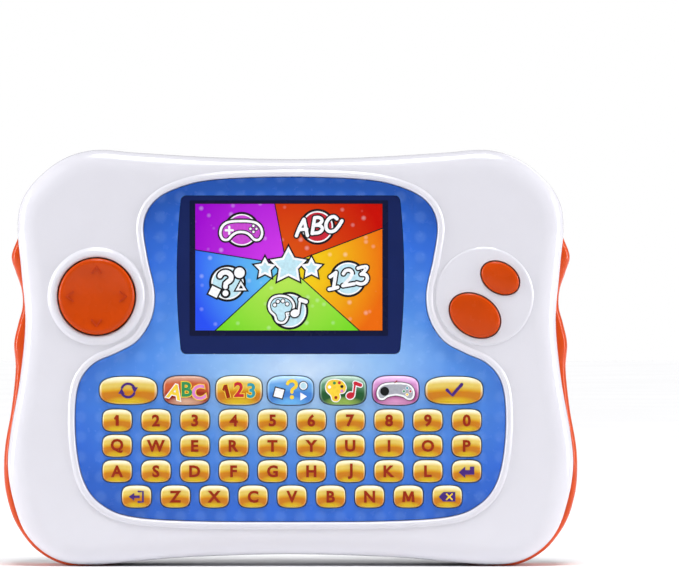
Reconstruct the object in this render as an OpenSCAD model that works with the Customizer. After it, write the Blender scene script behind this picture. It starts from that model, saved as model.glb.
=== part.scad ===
// Learning tablet for small children: a waisted, rounded case with a colour display,
// a round direction pad, two oval buttons and a keyboard of 46 separate key caps.
//
// Each sub-part is drawn in the tablet's own frame: +X right, +Y towards its top edge and +Z out
// of its face, with Z = 0 at the tips of the rear feet. stand() then raises the tablet onto
// its lower corners, face towards -Y.

/* [Case] */
// Largest thickness of the case without its feet
case_depth = 36; // [34:1:40]
// Height of the four rear feet
foot_height = 4; // [3:0.5:5]
// Width of the rolled edge, seen from the front
roll_width = 9; // [7:0.5:10]
// Depth of the rolled edge
roll_depth = 6; // [5:0.5:7]
// Thickness of the moulded walls
wall = 2.4; // [2:0.1:3]

/* [Side grips] */
// Thickness of the side grips, front to back
grip_depth = 22; // [16:1:22]
// Rounding of the grips' edges
grip_round = 1.2; // [0.6:0.2:2]

/* [Keyboard] */
// Distance between the centres of two neighbouring keys
key_pitch = 15.54; // [15.2:0.02:15.7]
// Distance between two rows of keys
row_pitch = 10.16; // [10.1:0.02:10.3]
// Width of a key cap
key_width = 11.7; // [11:0.1:12]
// Height of a key cap, seen from the front
key_height = 8.8; // [8.4:0.1:8.8]
// How far a key goes down
key_travel = 1.2; // [0.8:0.1:1.3]
// Gap round each key in the fascia
key_gap = 0.3; // [0.3:0.05:0.35]

/* [Display] */
// Width of the dark window at its ends
window_width = 87.2; // [84:0.2:88]
// Height of the dark window
window_height = 63.2; // [62:0.2:64]

/* [Direction pad and buttons] */
// Radius of the direction pad
dpad_radius = 15.25; // [14.5:0.05:15.5]
// Radius of the raised rings round the pad and the buttons
ring_radius = 19.4; // [18.8:0.1:19.8]
// How far a button goes down
button_travel = 1.5; // [1:0.1:1.6]

/* [Sockets and switch] */
// Radius of the sound and picture socket's bore
jack_radius = 1.8; // [1.7:0.05:1.9]
// Radius of the power socket's centre pin
dc_pin_radius = 1.0; // [0.9:0.05:1.1]
// How far the power switch slides
slider_travel = 4; // [3:0.5:4]

/* [Hidden] */
FUNCTION_KEYS = ["repeat", "letters", "numbers", "question", "colours", "games", "answer"];
ROW_1 = ["1", "2", "3", "4", "5", "6", "7", "8", "9", "0"];
ROW_2 = ["q", "w", "e", "r", "t", "y", "u", "i", "o", "p"];
ROW_3 = ["a", "s", "d", "f", "g", "h", "j", "k", "l", "enter"];
ROW_4 = ["escape", "z", "x", "c", "v", "b", "n", "m", "backspace"];
KEY_ROWS = [ROW_1, ROW_2, ROW_3, ROW_4];

KEY_NODES = [for (row = concat([FUNCTION_KEYS], KEY_ROWS), name = row) str("key_", name)];

$fn = 48;
eps = 0.01;

// Walls behind the grips and round the inside
side_wall = 3.2;
grip_seat = 1.6;
grip_top = 48.5;
grip_inner = 70;

// Levels along Z, from the feet to the face
back = foot_height;
seam = back + case_depth / 2;
face = back + case_depth;
fascia_top = face - 1.6;
fascia_thick = 1.8;
fascia_base = fascia_top - fascia_thick;
mat_base = fascia_base - 6.7;
mat_sheet = 1;
board_thick = 1.6;
board_base = mat_base - 0.1 - board_thick;

// Outlines, right half, from the top centre clockwise to the bottom centre
CASE_HALF = [[0, 79.8], [32, 80.6], [62, 82.4], [78, 83.5], [91, 80], [102, 71.5], [108, 62.5],
             [109.5, 52], [108, 35], [106.4, 15], [108.5, -8], [112.3, -30], [113.4, -43],
             [111.5, -56], [107, -69], [99.5, -77.5], [90, -82], [78, -82.8], [62, -81.6],
             [40, -79.8], [0, -78.7]];
GRIP_HALF = [[0, 76], [40, 77], [78, 80], [98, 72], [107, 58], [109.4, 49], [112.2, 41], [110.5, 34.5],
             [108.2, 27.5], [107.8, 20.5], [109.6, 13.5], [111.2, 5.5], [110.6, -5], [112.3, -21],
             [114.6, -34], [115.3, -44], [114.5, -54], [111.2, -65], [105.2, -74.2], [99, -79.5],
             [92, -82.8], [85, -84], [78, -83], [62, -79], [40, -77], [0, -76]];
FASCIA_HALF = [[0, 72.4], [30, 71.3], [45, 68], [54.5, 62.5], [58.6, 53.5], [57, 40], [54.2, 26.5],
               [55.4, 16], [61, 7], [69.5, 2], [78.5, -2.2], [84.2, -9.5], [86, -21.5], [85.2, -38],
               [82, -50.5], [75.4, -58.5], [64, -63.2], [40, -65], [0, -65.3]];
curve_steps = 3;

// Level ground under the standing tablet, just above the lowest point of the grips' curve
ground = -83.5;

// Round pad at the left and pair of oval buttons at the right
dpad_place = [-77.5, 24.7];
buttons_place = [77.5, 24.7];
button_tilt = -32;
upper_button_place = [83.9, 32.1];
upper_button_size = [8.1, 5.9];
lower_button_place = [73.8, 17.1];
lower_button_size = [10.8, 8];
button_top = face + 2;
button_flange_top = face - wall - 0.3;
button_flange = 1.5;
button_stem_base = button_flange_top - 4.2;
button_dome = 28;
dpad_pivot_height = face - 4.5;
dpad_top = face + 2.4;
dpad_thick = 3;
gimbal_radius = 1.5;
gimbal_gap = 0.06;
gimbal_reach = 6.5;
gimbal_lug = 1.8;
gimbal_inner = 4.2;
gimbal_cover = 2.2;
cradle_reach = 19;
cradle_drop = 7;
ring_height = 1.4;
pad_rise = 0.5;
button_gap = 0.4;
ring_inner = dpad_radius + 0.9;

// Fascia and display
window_place = [0, 33.4];
window_bulge = 1.8;
window_corner = 2;
window_gap = 0.1;
ledge = 1.2;
fascia_gap = 0.2;
bead_width = 3;
bead_height = 0.9;
sink = 0.5;

// Keyboard places
function_row = -12.9;
first_row = -24.9;
key_centre_x = 0.6;
keyboard_centre = [0, -34];
wide_key = [23, 11];
picture_key = [18.5, 11.6];
FUNCTION_X = [-64.9, -41.6, -20.6, 0, 21, 42.1, 65.5];
key_top = face + 0.4;
key_dome = 24;
key_corner = 3;
flange_thick = 1.2;
flange_out = [1, 0.9];
flange_clearance = 0.2;
stem_length = 1.4;
stem_radius = 2.2;
pad_radius = 3;
stem_gap = 0.2;

// Top edge: the scooped recess that holds the sockets and the switch
scoop_radius = 190;
scoop_floor = 75;
scoop_to = 17;
port_level = 11.2;
av_x = 33.6;
av_outer = 3.3;
dc_x = -29.6;
dc_outer = 4.6;
dc_radius = 2.9;
switch_slot = [10, 3.8];
slider_size = [4.4, 3];
slider_rest = slider_travel / 2;

// Rear face
BIG_FEET = [[-72.5, 41.5], [72.5, 41.5]];
SMALL_FEET = [[-72.4, -51.3], [72.4, -51.3]];
big_foot_radius = 19;
small_foot_radius = 9.15;
foot_land = 0.06;
SCREWS = [[58.4, 70.2], [58.4, 12], [95.5, -5], [60, -71]];
well_radius = 2.5;
post_radius = 4.2;
screw_seat = back + 10;
screw_head = [2.2, 1.8];
screw_shank = [1.1, 11];
screw_hole_depth = 13.5;
speaker_place = [0, 42];
speaker_size = [18, 8];

// Battery bay
cell_radius = 7.1;
cell_length = 50;
cell_pitch = 14.9;
bay_low = -54;
bay_high = 9;
bay_half = 31.3;
bay_roof = back + 20;
bay_wall = wall + 0.2;
cell_level = back + 2.8 + cell_radius;
cell_low = bay_low + 5.4;
door_gap = 0.3;
door_thick = 2;
hinge_radius = 2.3;
hinge_side_gap = 0.8;
hinge_pin = 1.2;
hinge_pin_gap = 0.08;
hinge_pin_reach = 1.8;
door_screw_y = 6;
door_screw_head = [2.4, 1.1];
door_screw_shank = [1.1, 5];
door_lug = [10, 3.6];

// Circuit boards
keyboard_board = [164, 58];
display_board_place = [0, 36];
display_board = [92, 66];
button_board_place = [78.9, 24.7];
button_board = [31, 38];

// ---- Shape helpers ----

// Point at t between b and c on a smooth curve through a, b, c and d
function curve_point(a, b, c, d, t) =
    0.5 * (2 * b + (c - a) * t + (2 * a - 5 * b + 4 * c - d) * t * t
        + (3 * b - a - 3 * c + d) * t * t * t);

// Closed smooth loop through a list of points
function smooth_loop(points, steps) =
    let (n = len(points))
    [for (i = [0 : n - 1], s = [0 : steps - 1])
        curve_point(points[(i + n - 1) % n], points[i], points[(i + 1) % n], points[(i + 2) % n],
                    s / steps)];

// Whole outline from its right half
function both_sides(half) =
    concat(half, [for (i = [len(half) - 2 : -1 : 1]) [-half[i][0], half[i][1]]]);

function unit(v) = v / norm(v);

// Loop moved inwards by a distance, for a loop that runs clockwise
function inset(loop, distance) =
    let (n = len(loop))
    [for (i = [0 : n - 1])
        let (along = unit(loop[(i + 1) % n] - loop[(i + n - 1) % n]))
        loop[i] + distance * [along[1], -along[0]]];

case_outline = smooth_loop(both_sides(CASE_HALF), curve_steps);
grip_outline = smooth_loop(both_sides(GRIP_HALF), curve_steps);
fascia_outline = smooth_loop(both_sides(FASCIA_HALF), curve_steps);

// Solid through a stack of loops, each given with its level
module loft(loops, levels) {
    n = len(loops[0]);
    last = len(loops) - 1;
    low_centre = n * len(loops);
    high_centre = low_centre + 1;
    ring_points = [for (k = [0 : last], p = loops[k]) [p[0], p[1], levels[k]]];
    sides = [for (k = [0 : last - 1], i = [0 : n - 1], half = [0, 1])
        let (a = k * n + i, b = k * n + (i + 1) % n)
        half == 0 ? [a, b, b + n] : [a, b + n, a + n]];
    low_cap = [for (i = [0 : n - 1]) [low_centre, (i + 1) % n, i]];
    high_cap = [for (i = [0 : n - 1]) [high_centre, last * n + i, last * n + (i + 1) % n]];
    polyhedron(points = concat(ring_points, [[0, 0, levels[0]], [0, 0, levels[last]]]),
               faces = concat(sides, low_cap, high_cap));
}

// Half of the case, from the seam out to a face with a rolled edge, rising along +Z
module rolled_half(depth) {
    angles = [0, 18, 36, 54, 72, 90];
    loops = concat([case_outline],
                   [for (a = angles) inset(case_outline, roll_width * (1 - cos(a)))]);
    levels = concat([0], [for (a = angles) depth - roll_depth + roll_depth * sin(a)]);
    loft(loops, levels);
}

module rounded_rect(size, corner) {
    square(size - [2 * corner, 0], center = true);
    square(size - [0, 2 * corner], center = true);
    for (x = [-1, 1], y = [-1, 1])
        translate([x * (size[0] / 2 - corner), y * (size[1] / 2 - corner)])
            circle(r = corner, $fn = 24);
}

module ellipse(size) {
    polygon([for (a = [0 : 7.5 : 359]) [size[0] * cos(a), size[1] * sin(a)]]);
}

// Ring-shaped wall between two distances outside an outline
module outline_band(outline, inner, outer) {
    difference() {
        offset(delta = outer) polygon(outline);
        offset(delta = inner) polygon(outline);
    }
}

module at_both(places) {
    for (p = places, side = [-1, 1]) translate([side * p[0], p[1], 0]) children();
}

// Cylinder that points along +Y from a place
module along_y(radius, length) {
    rotate([-90, 0, 0]) cylinder(r = radius, h = length);
}

// ---- Case ----

// Space that the side grips take out of both shells' walls
module grip_pocket() {
    reach = [60, grip_top + 100.5];
    translate([0, 0, seam - grip_depth / 2])
        linear_extrude(grip_depth)
            difference() {
                intersection() {
                    offset(delta = 6) polygon(case_outline);
                    for (side = [-1, 1])
                        translate([side * (grip_inner + reach[0] / 2), grip_top + 0.5 - reach[1] / 2])
                            square(reach, center = true);
                }
                offset(delta = -grip_seat) polygon(case_outline);
            }
}

// Wall that the printed fascia's seat is cut from, and the bead on the face beside it
module fascia_frame() {
    base = fascia_base - wall;
    translate([0, 0, base])
        linear_extrude(face - sink - base) outline_band(fascia_outline, -ledge - 1, wall);
    translate([0, 0, face - sink])
        linear_extrude(sink + bead_height) outline_band(fascia_outline, -1, bead_width);
}

// Pocket for the fascia, with a ledge under its edge
module fascia_seat() {
    translate([0, 0, fascia_base])
        linear_extrude(case_depth) offset(delta = fascia_gap) polygon(fascia_outline);
    translate([0, 0, fascia_base - wall - 1])
        linear_extrude(case_depth) offset(delta = -ledge) polygon(fascia_outline);
}

// Post that takes a case screw's thread, from just above the rear shell's post to the face
module front_post() {
    base = screw_seat + wall + 0.1;
    translate([0, 0, base]) cylinder(r = post_radius - 0.6, h = face - 1 - base);
}

// Inside of one half of the case, from its seam out to a face wall, rising along +Z
module half_cavity(depth) {
    translate([0, 0, -1])
        linear_extrude(depth - roll_depth + 1) offset(delta = -side_wall) polygon(case_outline);
    translate([0, 0, -1])
        linear_extrude(depth - wall + 1) offset(delta = -roll_width + 2) polygon(case_outline);
}

module front_shell() {
    color("white")
        difference() {
            union() {
                difference() {
                    union() {
                        difference() {
                            translate([0, 0, seam]) rolled_half(case_depth / 2);
                            translate([0, 0, seam]) half_cavity(case_depth / 2);
                        }
                        at_both(SCREWS) front_post();
                        fascia_frame();
                        translate([buttons_place[0], buttons_place[1], face - 1])
                            cylinder(r = ring_radius, h = 1 + pad_rise);
                        translate([dpad_place[0], dpad_place[1], face - sink])
                            cylinder(r = ring_radius, h = sink + ring_height);
                    }
                    fascia_seat();
                    translate([dpad_place[0], dpad_place[1], seam])
                        cylinder(r = ring_inner, h = case_depth);
                }
                dpad_cradle();
            }
            button_hole(upper_button_place, upper_button_size);
            button_hole(lower_button_place, lower_button_size);
            at_both(SCREWS)
                translate([0, 0, screw_seat]) cylinder(r = screw_shank[0] + 0.1, h = screw_hole_depth);
            grip_pocket();
        }
}

module button_hole(place, size) {
    translate([place[0], place[1], seam])
        rotate(button_tilt) linear_extrude(case_depth) ellipse(size + [button_gap, button_gap]);
}

// Two lugs on a crossbar under the direction pad, which hold its gimbal along X
module dpad_cradle() {
    lug_bottom = dpad_pivot_height - cradle_drop;
    bar = 2;
    lug_depth = 4.8;
    translate([dpad_place[0], dpad_place[1], 0])
        difference() {
            union() {
                translate([-cradle_reach - 1, -3, lug_bottom - bar])
                    cube([2 * cradle_reach + 2, 6, bar]);
                for (side = [-1, 1]) {
                    translate([side * cradle_reach - 1, -3, lug_bottom - 1])
                        cube([2, 6, face - wall + 0.5 - (lug_bottom - 1)]);
                    translate([side * (gimbal_inner + gimbal_lug / 2) - gimbal_lug / 2, -lug_depth / 2,
                               lug_bottom - 1])
                        cube([gimbal_lug, lug_depth,
                              dpad_pivot_height + gimbal_cover - (lug_bottom - 1)]);
                }
            }
            translate([-gimbal_reach - 3, 0, dpad_pivot_height])
                rotate([0, 90, 0]) cylinder(r = gimbal_radius + gimbal_gap, h = 2 * gimbal_reach + 6);
        }
}

module foot(place, radius) {
    dome = (radius * radius + foot_height * foot_height) / (2 * foot_height);
    translate([place[0], place[1], dome - foot_land])
        intersection() {
            sphere(r = dome, $fn = 96);
            translate([0, 0, -dome + foot_land]) cylinder(r = radius, h = foot_height + 0.5);
        }
}

module grille_slot(place, size) {
    straight = size[0] - size[1];
    translate([place[0], place[1], back - 1])
        linear_extrude(wall + 2) {
            square([straight, size[1]], center = true);
            for (side = [-1, 1]) translate([side * straight / 2, 0]) circle(d = size[1], $fn = 16);
        }
}

// Columns of slots, each shorter and shallower than the one inside it
module speaker_grille() {
    slot_pitch = 5.86;
    translate([speaker_place[0], speaker_place[1], 0]) {
        for (i = [-2 : 2]) grille_slot([0, i * slot_pitch], [5.2, 2.6]);
        for (side = [-1, 1]) {
            for (i = [-1.5 : 1.5]) grille_slot([side * 6.6, i * slot_pitch], [4.4, 2.2]);
            for (i = [-1 : 1]) grille_slot([side * 11.6, i * slot_pitch], [3.4, 1.6]);
        }
    }
}

// Tube that holds a case screw below the rear face
module screw_post() {
    translate([0, 0, back + 1]) cylinder(r = post_radius, h = screw_seat + wall - back - 1);
}

module screw_well() {
    translate([0, 0, back - 1]) cylinder(r = well_radius, h = screw_seat - back + 1);
    translate([0, 0, back - 1]) cylinder(r = screw_shank[0] + 0.2, h = case_depth);
}

module bay_box(margin, low, high) {
    translate([-bay_half - margin, bay_low - margin, low])
        cube([2 * (bay_half + margin), bay_high - bay_low + 2 * margin, high - low]);
}

// Places its children on the battery door's hinge line, their Z along it
module door_axis() {
    translate([0, bay_low, back + hinge_radius]) rotate([0, 90, 0]) children();
}

// Walls and roof round the batteries, with a lug for the door's screw
module battery_bay() {
    difference() {
        bay_box(bay_wall, back + 1, bay_roof);
        bay_box(0, back - 1, bay_roof - wall);
    }
    translate([-door_lug[0] / 2, bay_high - 5.4, back + wall])
        cube([door_lug[0], 5.4 + bay_wall, door_lug[1]]);
}

module rear_shell() {
    color("white")
        difference() {
            union() {
                difference() {
                    translate([0, 0, seam]) mirror([0, 0, 1]) rolled_half(case_depth / 2);
                    rear_cavity();
                }
                for (p = BIG_FEET) foot(p, big_foot_radius);
                for (p = SMALL_FEET) foot(p, small_foot_radius);
                at_both(SCREWS) screw_post();
                battery_bay();
            }
            scoop();
            speaker_grille();
            at_both(SCREWS) screw_well();
            door_opening();
            translate([av_x, scoop_floor - 8, port_level]) along_y(av_outer + 0.2, 20);
            translate([dc_x, scoop_floor - 8, port_level]) along_y(dc_outer + 0.2, 20);
            translate([-switch_slot[0] / 2, scoop_floor - 6, port_level - switch_slot[1] / 2])
                cube([switch_slot[0], 12, switch_slot[1]]);
            grip_pocket();
        }
}

// Hollow of the rear half, less the wall behind the scoop
module rear_cavity() {
    difference() {
        translate([0, 0, seam]) mirror([0, 0, 1]) half_cavity(case_depth / 2);
        translate([0, scoop_floor + scoop_radius, 0])
            cylinder(r = scoop_radius + wall, h = scoop_to + wall, $fn = 360);
    }
}

// Shallow arc taken out of the rear part of the top edge
module scoop() {
    translate([0, scoop_floor + scoop_radius, back - 1])
        cylinder(r = scoop_radius, h = scoop_to - back + 1, $fn = 360);
}

// Opening for the door: through the rear wall, with room for the hinge's barrel and bores for its pins
module door_opening() {
    low = bay_low - hinge_radius - hinge_side_gap;
    width = 2 * bay_half + 0.4;
    translate([-width / 2, low, back - 1]) cube([width, bay_high + door_gap - low, wall + 1]);
    door_axis() cylinder(r = hinge_radius + door_gap, h = width, center = true);
    door_axis()
        cylinder(r = hinge_pin + hinge_pin_gap, h = 2 * (bay_half + hinge_pin_reach + door_gap),
                 center = true);
    translate([0, door_screw_y, back]) cylinder(r = door_screw_shank[0] + 0.5, h = 8);
}

// Both grips: each bulges out of the case's side and wraps round its lower corner
module side_grips() {
    edges = [grip_round, 0.35 * grip_round, 0, 0, 0.35 * grip_round, grip_round];
    half_depth = grip_depth / 2 - 0.1;
    levels = [-half_depth, 0.35 * grip_round - half_depth, grip_round - half_depth,
              half_depth - grip_round, half_depth - 0.35 * grip_round, half_depth];
    color("orangered")
        for (side = [0, 1])
            mirror([side, 0, 0])
                difference() {
                    translate([0, 0, seam]) loft([for (e = edges) inset(grip_outline, e)], levels);
                    translate([0, 0, seam - grip_depth])
                        linear_extrude(2 * grip_depth)
                            offset(delta = -grip_seat + 0.1) polygon(case_outline);
                    translate([-200, -100, 0]) cube([200 + grip_inner + 0.5, 300, 100]);
                    translate([0, grip_top, 0]) cube([200, 100, 100]);
                    translate([0, ground - 20, 0]) cube([200, 20, 100]);
                }
}

// ---- Face ----

module window_shape(gap) {
    arc_radius = (pow(window_height / 2, 2) + pow(window_bulge, 2)) / (2 * window_bulge);
    reach = window_width / 2 + window_bulge + gap;
    translate(window_place)
        offset(r = window_corner) offset(delta = -window_corner)
            intersection() {
                square([window_width + 10, window_height + 2 * gap], center = true);
                for (side = [-1, 1])
                    translate([side * (reach - arc_radius), 0]) circle(r = arc_radius, $fn = 360);
            }
}

// Printed panel with a hole for each key, and the display's dark window in it
module fascia_panel() {
    color("royalblue")
        translate([0, 0, fascia_base])
            linear_extrude(fascia_thick)
                difference() {
                    polygon(fascia_outline);
                    window_shape(window_gap);
                    key_holes();
                }
    color("navy")
        translate([0, 0, fascia_base + 0.3]) linear_extrude(fascia_thick - 0.3) window_shape(0);
}

module key_holes() {
    for (i = [0 : len(FUNCTION_KEYS) - 1])
        translate([FUNCTION_X[i], function_row])
            rounded_rect(function_size(i) + 2 * [key_gap, key_gap], key_corner);
    for (r = [0 : len(KEY_ROWS) - 1], i = [0 : len(KEY_ROWS[r]) - 1])
        translate(key_place(r, i))
            rounded_rect([key_width, key_height] + 2 * [key_gap, key_gap], key_corner);
}

function function_size(i) = i == 0 || i == len(FUNCTION_KEYS) - 1 ? wide_key : picture_key;

function key_place(r, i) =
    [key_centre_x + (i - (len(KEY_ROWS[r]) - 1) / 2) * key_pitch, first_row - r * row_pitch];

// One key cap: crowned top, flange that stops it under the fascia, and a stem onto the mat
module key_cap(size) {
    flange_top = fascia_base - flange_clearance;
    intersection() {
        translate([0, 0, flange_top - 0.5])
            linear_extrude(key_top - flange_top + 0.5) rounded_rect(size, key_corner);
        translate([0, 0, key_top - key_dome]) sphere(r = key_dome, $fn = 96);
    }
    translate([0, 0, flange_top - flange_thick])
        linear_extrude(flange_thick) rounded_rect(size + flange_out, key_corner);
    translate([0, 0, flange_top - flange_thick - stem_length])
        cylinder(r = stem_radius, h = stem_length + 0.5, $fn = 24);
}

module function_key(i) {
    colors = ["gold", "tomato", "orange", "deepskyblue", "limegreen", "hotpink", "gold"];
    color(colors[i]) translate([FUNCTION_X[i], function_row, 0]) key_cap(function_size(i));
}

module character_key(r, i) {
    color("gold") translate(concat(key_place(r, i), 0)) key_cap([key_width, key_height]);
}

// Direction pad: a shallow dished disc on a gimbal
module dpad() {
    disc_base = dpad_top - dpad_thick;
    lug_base = dpad_pivot_height - 2.4;
    lug_width = 4.8;
    color("orangered")
        translate([dpad_place[0], dpad_place[1], 0])
            difference() {
                union() {
                    translate([0, 0, disc_base])
                        rotate_extrude()
                            polygon([[0, 0], [dpad_radius, 0], [dpad_radius, 1.8],
                                     [dpad_radius - 0.4, 2.6], [dpad_radius - 1.4, dpad_thick],
                                     [dpad_radius - 3.2, 2.9], [0, 2.2]]);
                    for (side = [-1, 1])
                        translate([-lug_width / 2,
                                   side * (gimbal_inner + gimbal_lug / 2) - gimbal_lug / 2, lug_base])
                            cube([lug_width, gimbal_lug, disc_base + 0.1 - lug_base]);
                }
                translate([0, -gimbal_reach - 3, dpad_pivot_height])
                    along_y(gimbal_radius + gimbal_gap, 2 * gimbal_reach + 6);
            }
}

// Small cross on which the pad rocks both ways
module dpad_pivot() {
    color("silver")
        translate([dpad_place[0], dpad_place[1], dpad_pivot_height])
            union() {
                translate([0, -gimbal_reach, 0]) along_y(gimbal_radius, 2 * gimbal_reach);
                translate([-gimbal_reach, 0, 0])
                    rotate([0, 90, 0]) cylinder(r = gimbal_radius, h = 2 * gimbal_reach);
            }
}

module oval_button(place, size) {
    color("orangered")
        translate([place[0], place[1], 0])
            rotate(button_tilt) {
                intersection() {
                    translate([0, 0, button_flange_top - 0.5])
                        linear_extrude(button_top - button_flange_top + 0.5) ellipse(size);
                    translate([0, 0, button_top - button_dome]) sphere(r = button_dome, $fn = 96);
                }
                translate([0, 0, button_flange_top - button_flange])
                    linear_extrude(button_flange) ellipse(size + [1.4, 1.4]);
                translate([0, 0, button_stem_base])
                    cylinder(r = pad_radius, h = button_flange_top - 1 - button_stem_base);
            }
}

// Knob of the power switch, at its off end
module power_slider() {
    color("dimgray")
        translate([slider_rest - slider_size[0] / 2, scoop_floor - 5.5,
                   port_level - slider_size[1] / 2])
            cube([slider_size[0], 7, slider_size[1]]);
}

// ---- Inside ----

// Rubber mat with a pad below each key, and two smaller ones below the round controls
module key_mat() {
    stem_base = fascia_base - flange_clearance - flange_thick - stem_length;
    color("lightgray") {
        translate([keyboard_centre[0], keyboard_centre[1], mat_base])
            linear_extrude(mat_sheet) rounded_rect([160, 56], 4);
        for (i = [0 : len(FUNCTION_KEYS) - 1])
            translate([FUNCTION_X[i], function_row, 0]) mat_pad(stem_base - key_travel - stem_gap);
        for (r = [0 : len(KEY_ROWS) - 1], i = [0 : len(KEY_ROWS[r]) - 1])
            translate(concat(key_place(r, i), 0)) mat_pad(stem_base - key_travel - stem_gap);
        translate([buttons_place[0], buttons_place[1], mat_base])
            linear_extrude(mat_sheet) rounded_rect([30, 34], 4);
        for (place = [upper_button_place, lower_button_place])
            translate([place[0], place[1], 0]) mat_pad(button_stem_base - button_travel - stem_gap);
    }
}

module mat_pad(top) {
    base = mat_base + mat_sheet - eps;
    translate([0, 0, base]) cylinder(r = pad_radius, h = top - base, $fn = 24);
}

module electronics() {
    color("darkgreen") {
        board(keyboard_centre, keyboard_board);
        board(display_board_place, display_board);
        board(button_board_place, button_board);
    }
    color("black") {
        display_module();
        jack(av_x, av_outer, jack_radius);
        jack(dc_x, dc_outer, dc_radius);
    }
    color("silver") {
        translate([dc_x, scoop_floor - 11, port_level]) along_y(dc_pin_radius, 10);
        translate([-7, scoop_floor - 13, port_level - 4]) cube([14, 7, 8]);
        speaker();
    }
}

module board(place, size) {
    translate([place[0], place[1], board_base]) linear_extrude(board_thick) rounded_rect(size, 3);
}

module display_module() {
    base = board_base + board_thick + 0.2;
    translate([-40, 6, base]) cube([80, 58, fascia_base - 0.2 - base]);
}

// Socket barrel, open upwards, with a closed end
module jack(x, outer, bore) {
    translate([x, scoop_floor - 13, port_level])
        difference() {
            along_y(outer, 14);
            translate([0, 2, 0]) along_y(bore, 20);
        }
}

module speaker() {
    translate([speaker_place[0], speaker_place[1], back + wall + 0.2])
        rotate_extrude()
            polygon([[3, 2], [12, 1.5], [15.5, 0], [speaker_size[0], 0], [speaker_size[0], 2],
                     [12.5, 5], [10, 5], [10, speaker_size[1]], [0, speaker_size[1]], [0, 3]]);
}

module batteries() {
    color("dimgray")
        for (i = [-1.5 : 1.5])
            translate([i * cell_pitch, cell_low, cell_level]) along_y(cell_radius, cell_length);
    color("silver")
        for (i = [-1.5 : 1.5]) {
            translate([i * cell_pitch, cell_low + cell_length, cell_level]) along_y(2.5, 1);
            translate([i * cell_pitch, cell_low - 2.2, cell_level]) along_y(4, 2);
        }
}

module case_screws() {
    color("black")
        at_both(SCREWS)
            translate([0, 0, screw_seat])
                union() {
                    translate([0, 0, -screw_head[1] - 0.02])
                        cylinder(r = screw_head[0], h = screw_head[1]);
                    translate([0, 0, -1])
                        cylinder(r = screw_shank[0], h = screw_shank[1] + 1, $fn = 24);
                }
}

// Door over the batteries, with a round hinge edge and the screw that stays in it
module battery_door() {
    barrel = 2 * bay_half - 0.2;
    color("white")
        difference() {
            union() {
                translate([-barrel / 2, bay_low, back]) cube([barrel, bay_high - bay_low, door_thick]);
                door_axis() cylinder(r = hinge_radius, h = barrel, center = true);
                door_axis()
                    cylinder(r = hinge_pin, h = 2 * (bay_half + hinge_pin_reach), center = true);
            }
            translate([0, door_screw_y, back - 1])
                cylinder(r = door_screw_shank[0] + 0.3, h = door_thick + 2);
            translate([0, door_screw_y, back - 1])
                cylinder(r = door_screw_head[0] + 0.3, h = 1 + door_screw_head[1] + 0.1);
        }
    color("black")
        translate([0, door_screw_y, back]) {
            cylinder(r = door_screw_head[0], h = door_screw_head[1]);
            cylinder(r = door_screw_shank[0], h = door_screw_shank[1], $fn = 24);
        }
}

// ---- Assembly ----

// Raises the tablet from its back onto its lower corners, face towards -Y
module stand() {
    translate([0, dpad_top / 2, -ground]) rotate([90, 0, 0]) children();
}

stand() front_shell();
stand() rear_shell();
stand() side_grips();
stand() fascia_panel();
stand() key_mat();
stand() electronics();
stand() batteries();
stand() case_screws();
stand() battery_door();
stand() dpad();
stand() dpad_pivot();
stand() oval_button(upper_button_place, upper_button_size);  // upper_button
stand() oval_button(lower_button_place, lower_button_size);  // lower_button
stand() power_slider();
for (i = [0 : len(FUNCTION_KEYS) - 1])
    stand() function_key(i);
for (r = [0 : len(KEY_ROWS) - 1], i = [0 : len(KEY_ROWS[r]) - 1])
    stand() character_key(r, i);
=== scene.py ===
"""Looks for the standing toy tablet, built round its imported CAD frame.

Shapes are drawn in the tablet's own frame in millimetres, as in the CAD source: x to the right,
y towards the top edge and z out of the face, with z = 0 at the tips of the rear feet.
row() turns such a point into the row frame in metres.
"""
import math

import bmesh
import bpy
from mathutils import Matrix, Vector
from mathutils.geometry import tessellate_polygon


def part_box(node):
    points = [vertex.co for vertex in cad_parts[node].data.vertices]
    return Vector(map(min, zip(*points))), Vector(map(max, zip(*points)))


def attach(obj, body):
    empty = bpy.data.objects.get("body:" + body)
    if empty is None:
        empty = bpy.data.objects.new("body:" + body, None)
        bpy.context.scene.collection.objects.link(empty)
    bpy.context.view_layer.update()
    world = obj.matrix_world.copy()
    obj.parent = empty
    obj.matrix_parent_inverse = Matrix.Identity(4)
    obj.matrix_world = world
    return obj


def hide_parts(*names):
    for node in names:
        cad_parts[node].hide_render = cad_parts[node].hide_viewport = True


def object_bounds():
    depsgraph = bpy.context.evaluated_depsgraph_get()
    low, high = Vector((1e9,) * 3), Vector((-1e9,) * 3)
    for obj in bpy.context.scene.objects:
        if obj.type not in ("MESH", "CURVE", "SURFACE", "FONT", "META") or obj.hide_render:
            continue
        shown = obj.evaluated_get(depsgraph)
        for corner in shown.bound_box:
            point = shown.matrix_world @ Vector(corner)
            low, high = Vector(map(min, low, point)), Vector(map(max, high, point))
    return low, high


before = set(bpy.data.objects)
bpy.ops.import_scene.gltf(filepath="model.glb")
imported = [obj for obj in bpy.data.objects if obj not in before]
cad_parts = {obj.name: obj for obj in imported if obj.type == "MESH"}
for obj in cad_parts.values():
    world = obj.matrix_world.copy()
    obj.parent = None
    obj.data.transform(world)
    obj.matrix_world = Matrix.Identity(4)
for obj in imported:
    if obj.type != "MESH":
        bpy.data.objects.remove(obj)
CAD_LOW, CAD_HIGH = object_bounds()

MM = 0.001
GROUND = -83.5
TOP = 83.5
BACK = 4.0
SEAM = 22.0
FACE = 40.0
FASCIA_TOP = 38.4
ROLL = 9.0
ROLL_DEPTH = 6.0
GRIP_DEPTH = 22.0
GRIP_TOP = 48.5
GRIP_INNER = 70.0
GRIP_SEAT = 1.6
GRIP_THICK = 5.6
OUTLINE_STEPS = 8

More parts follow.
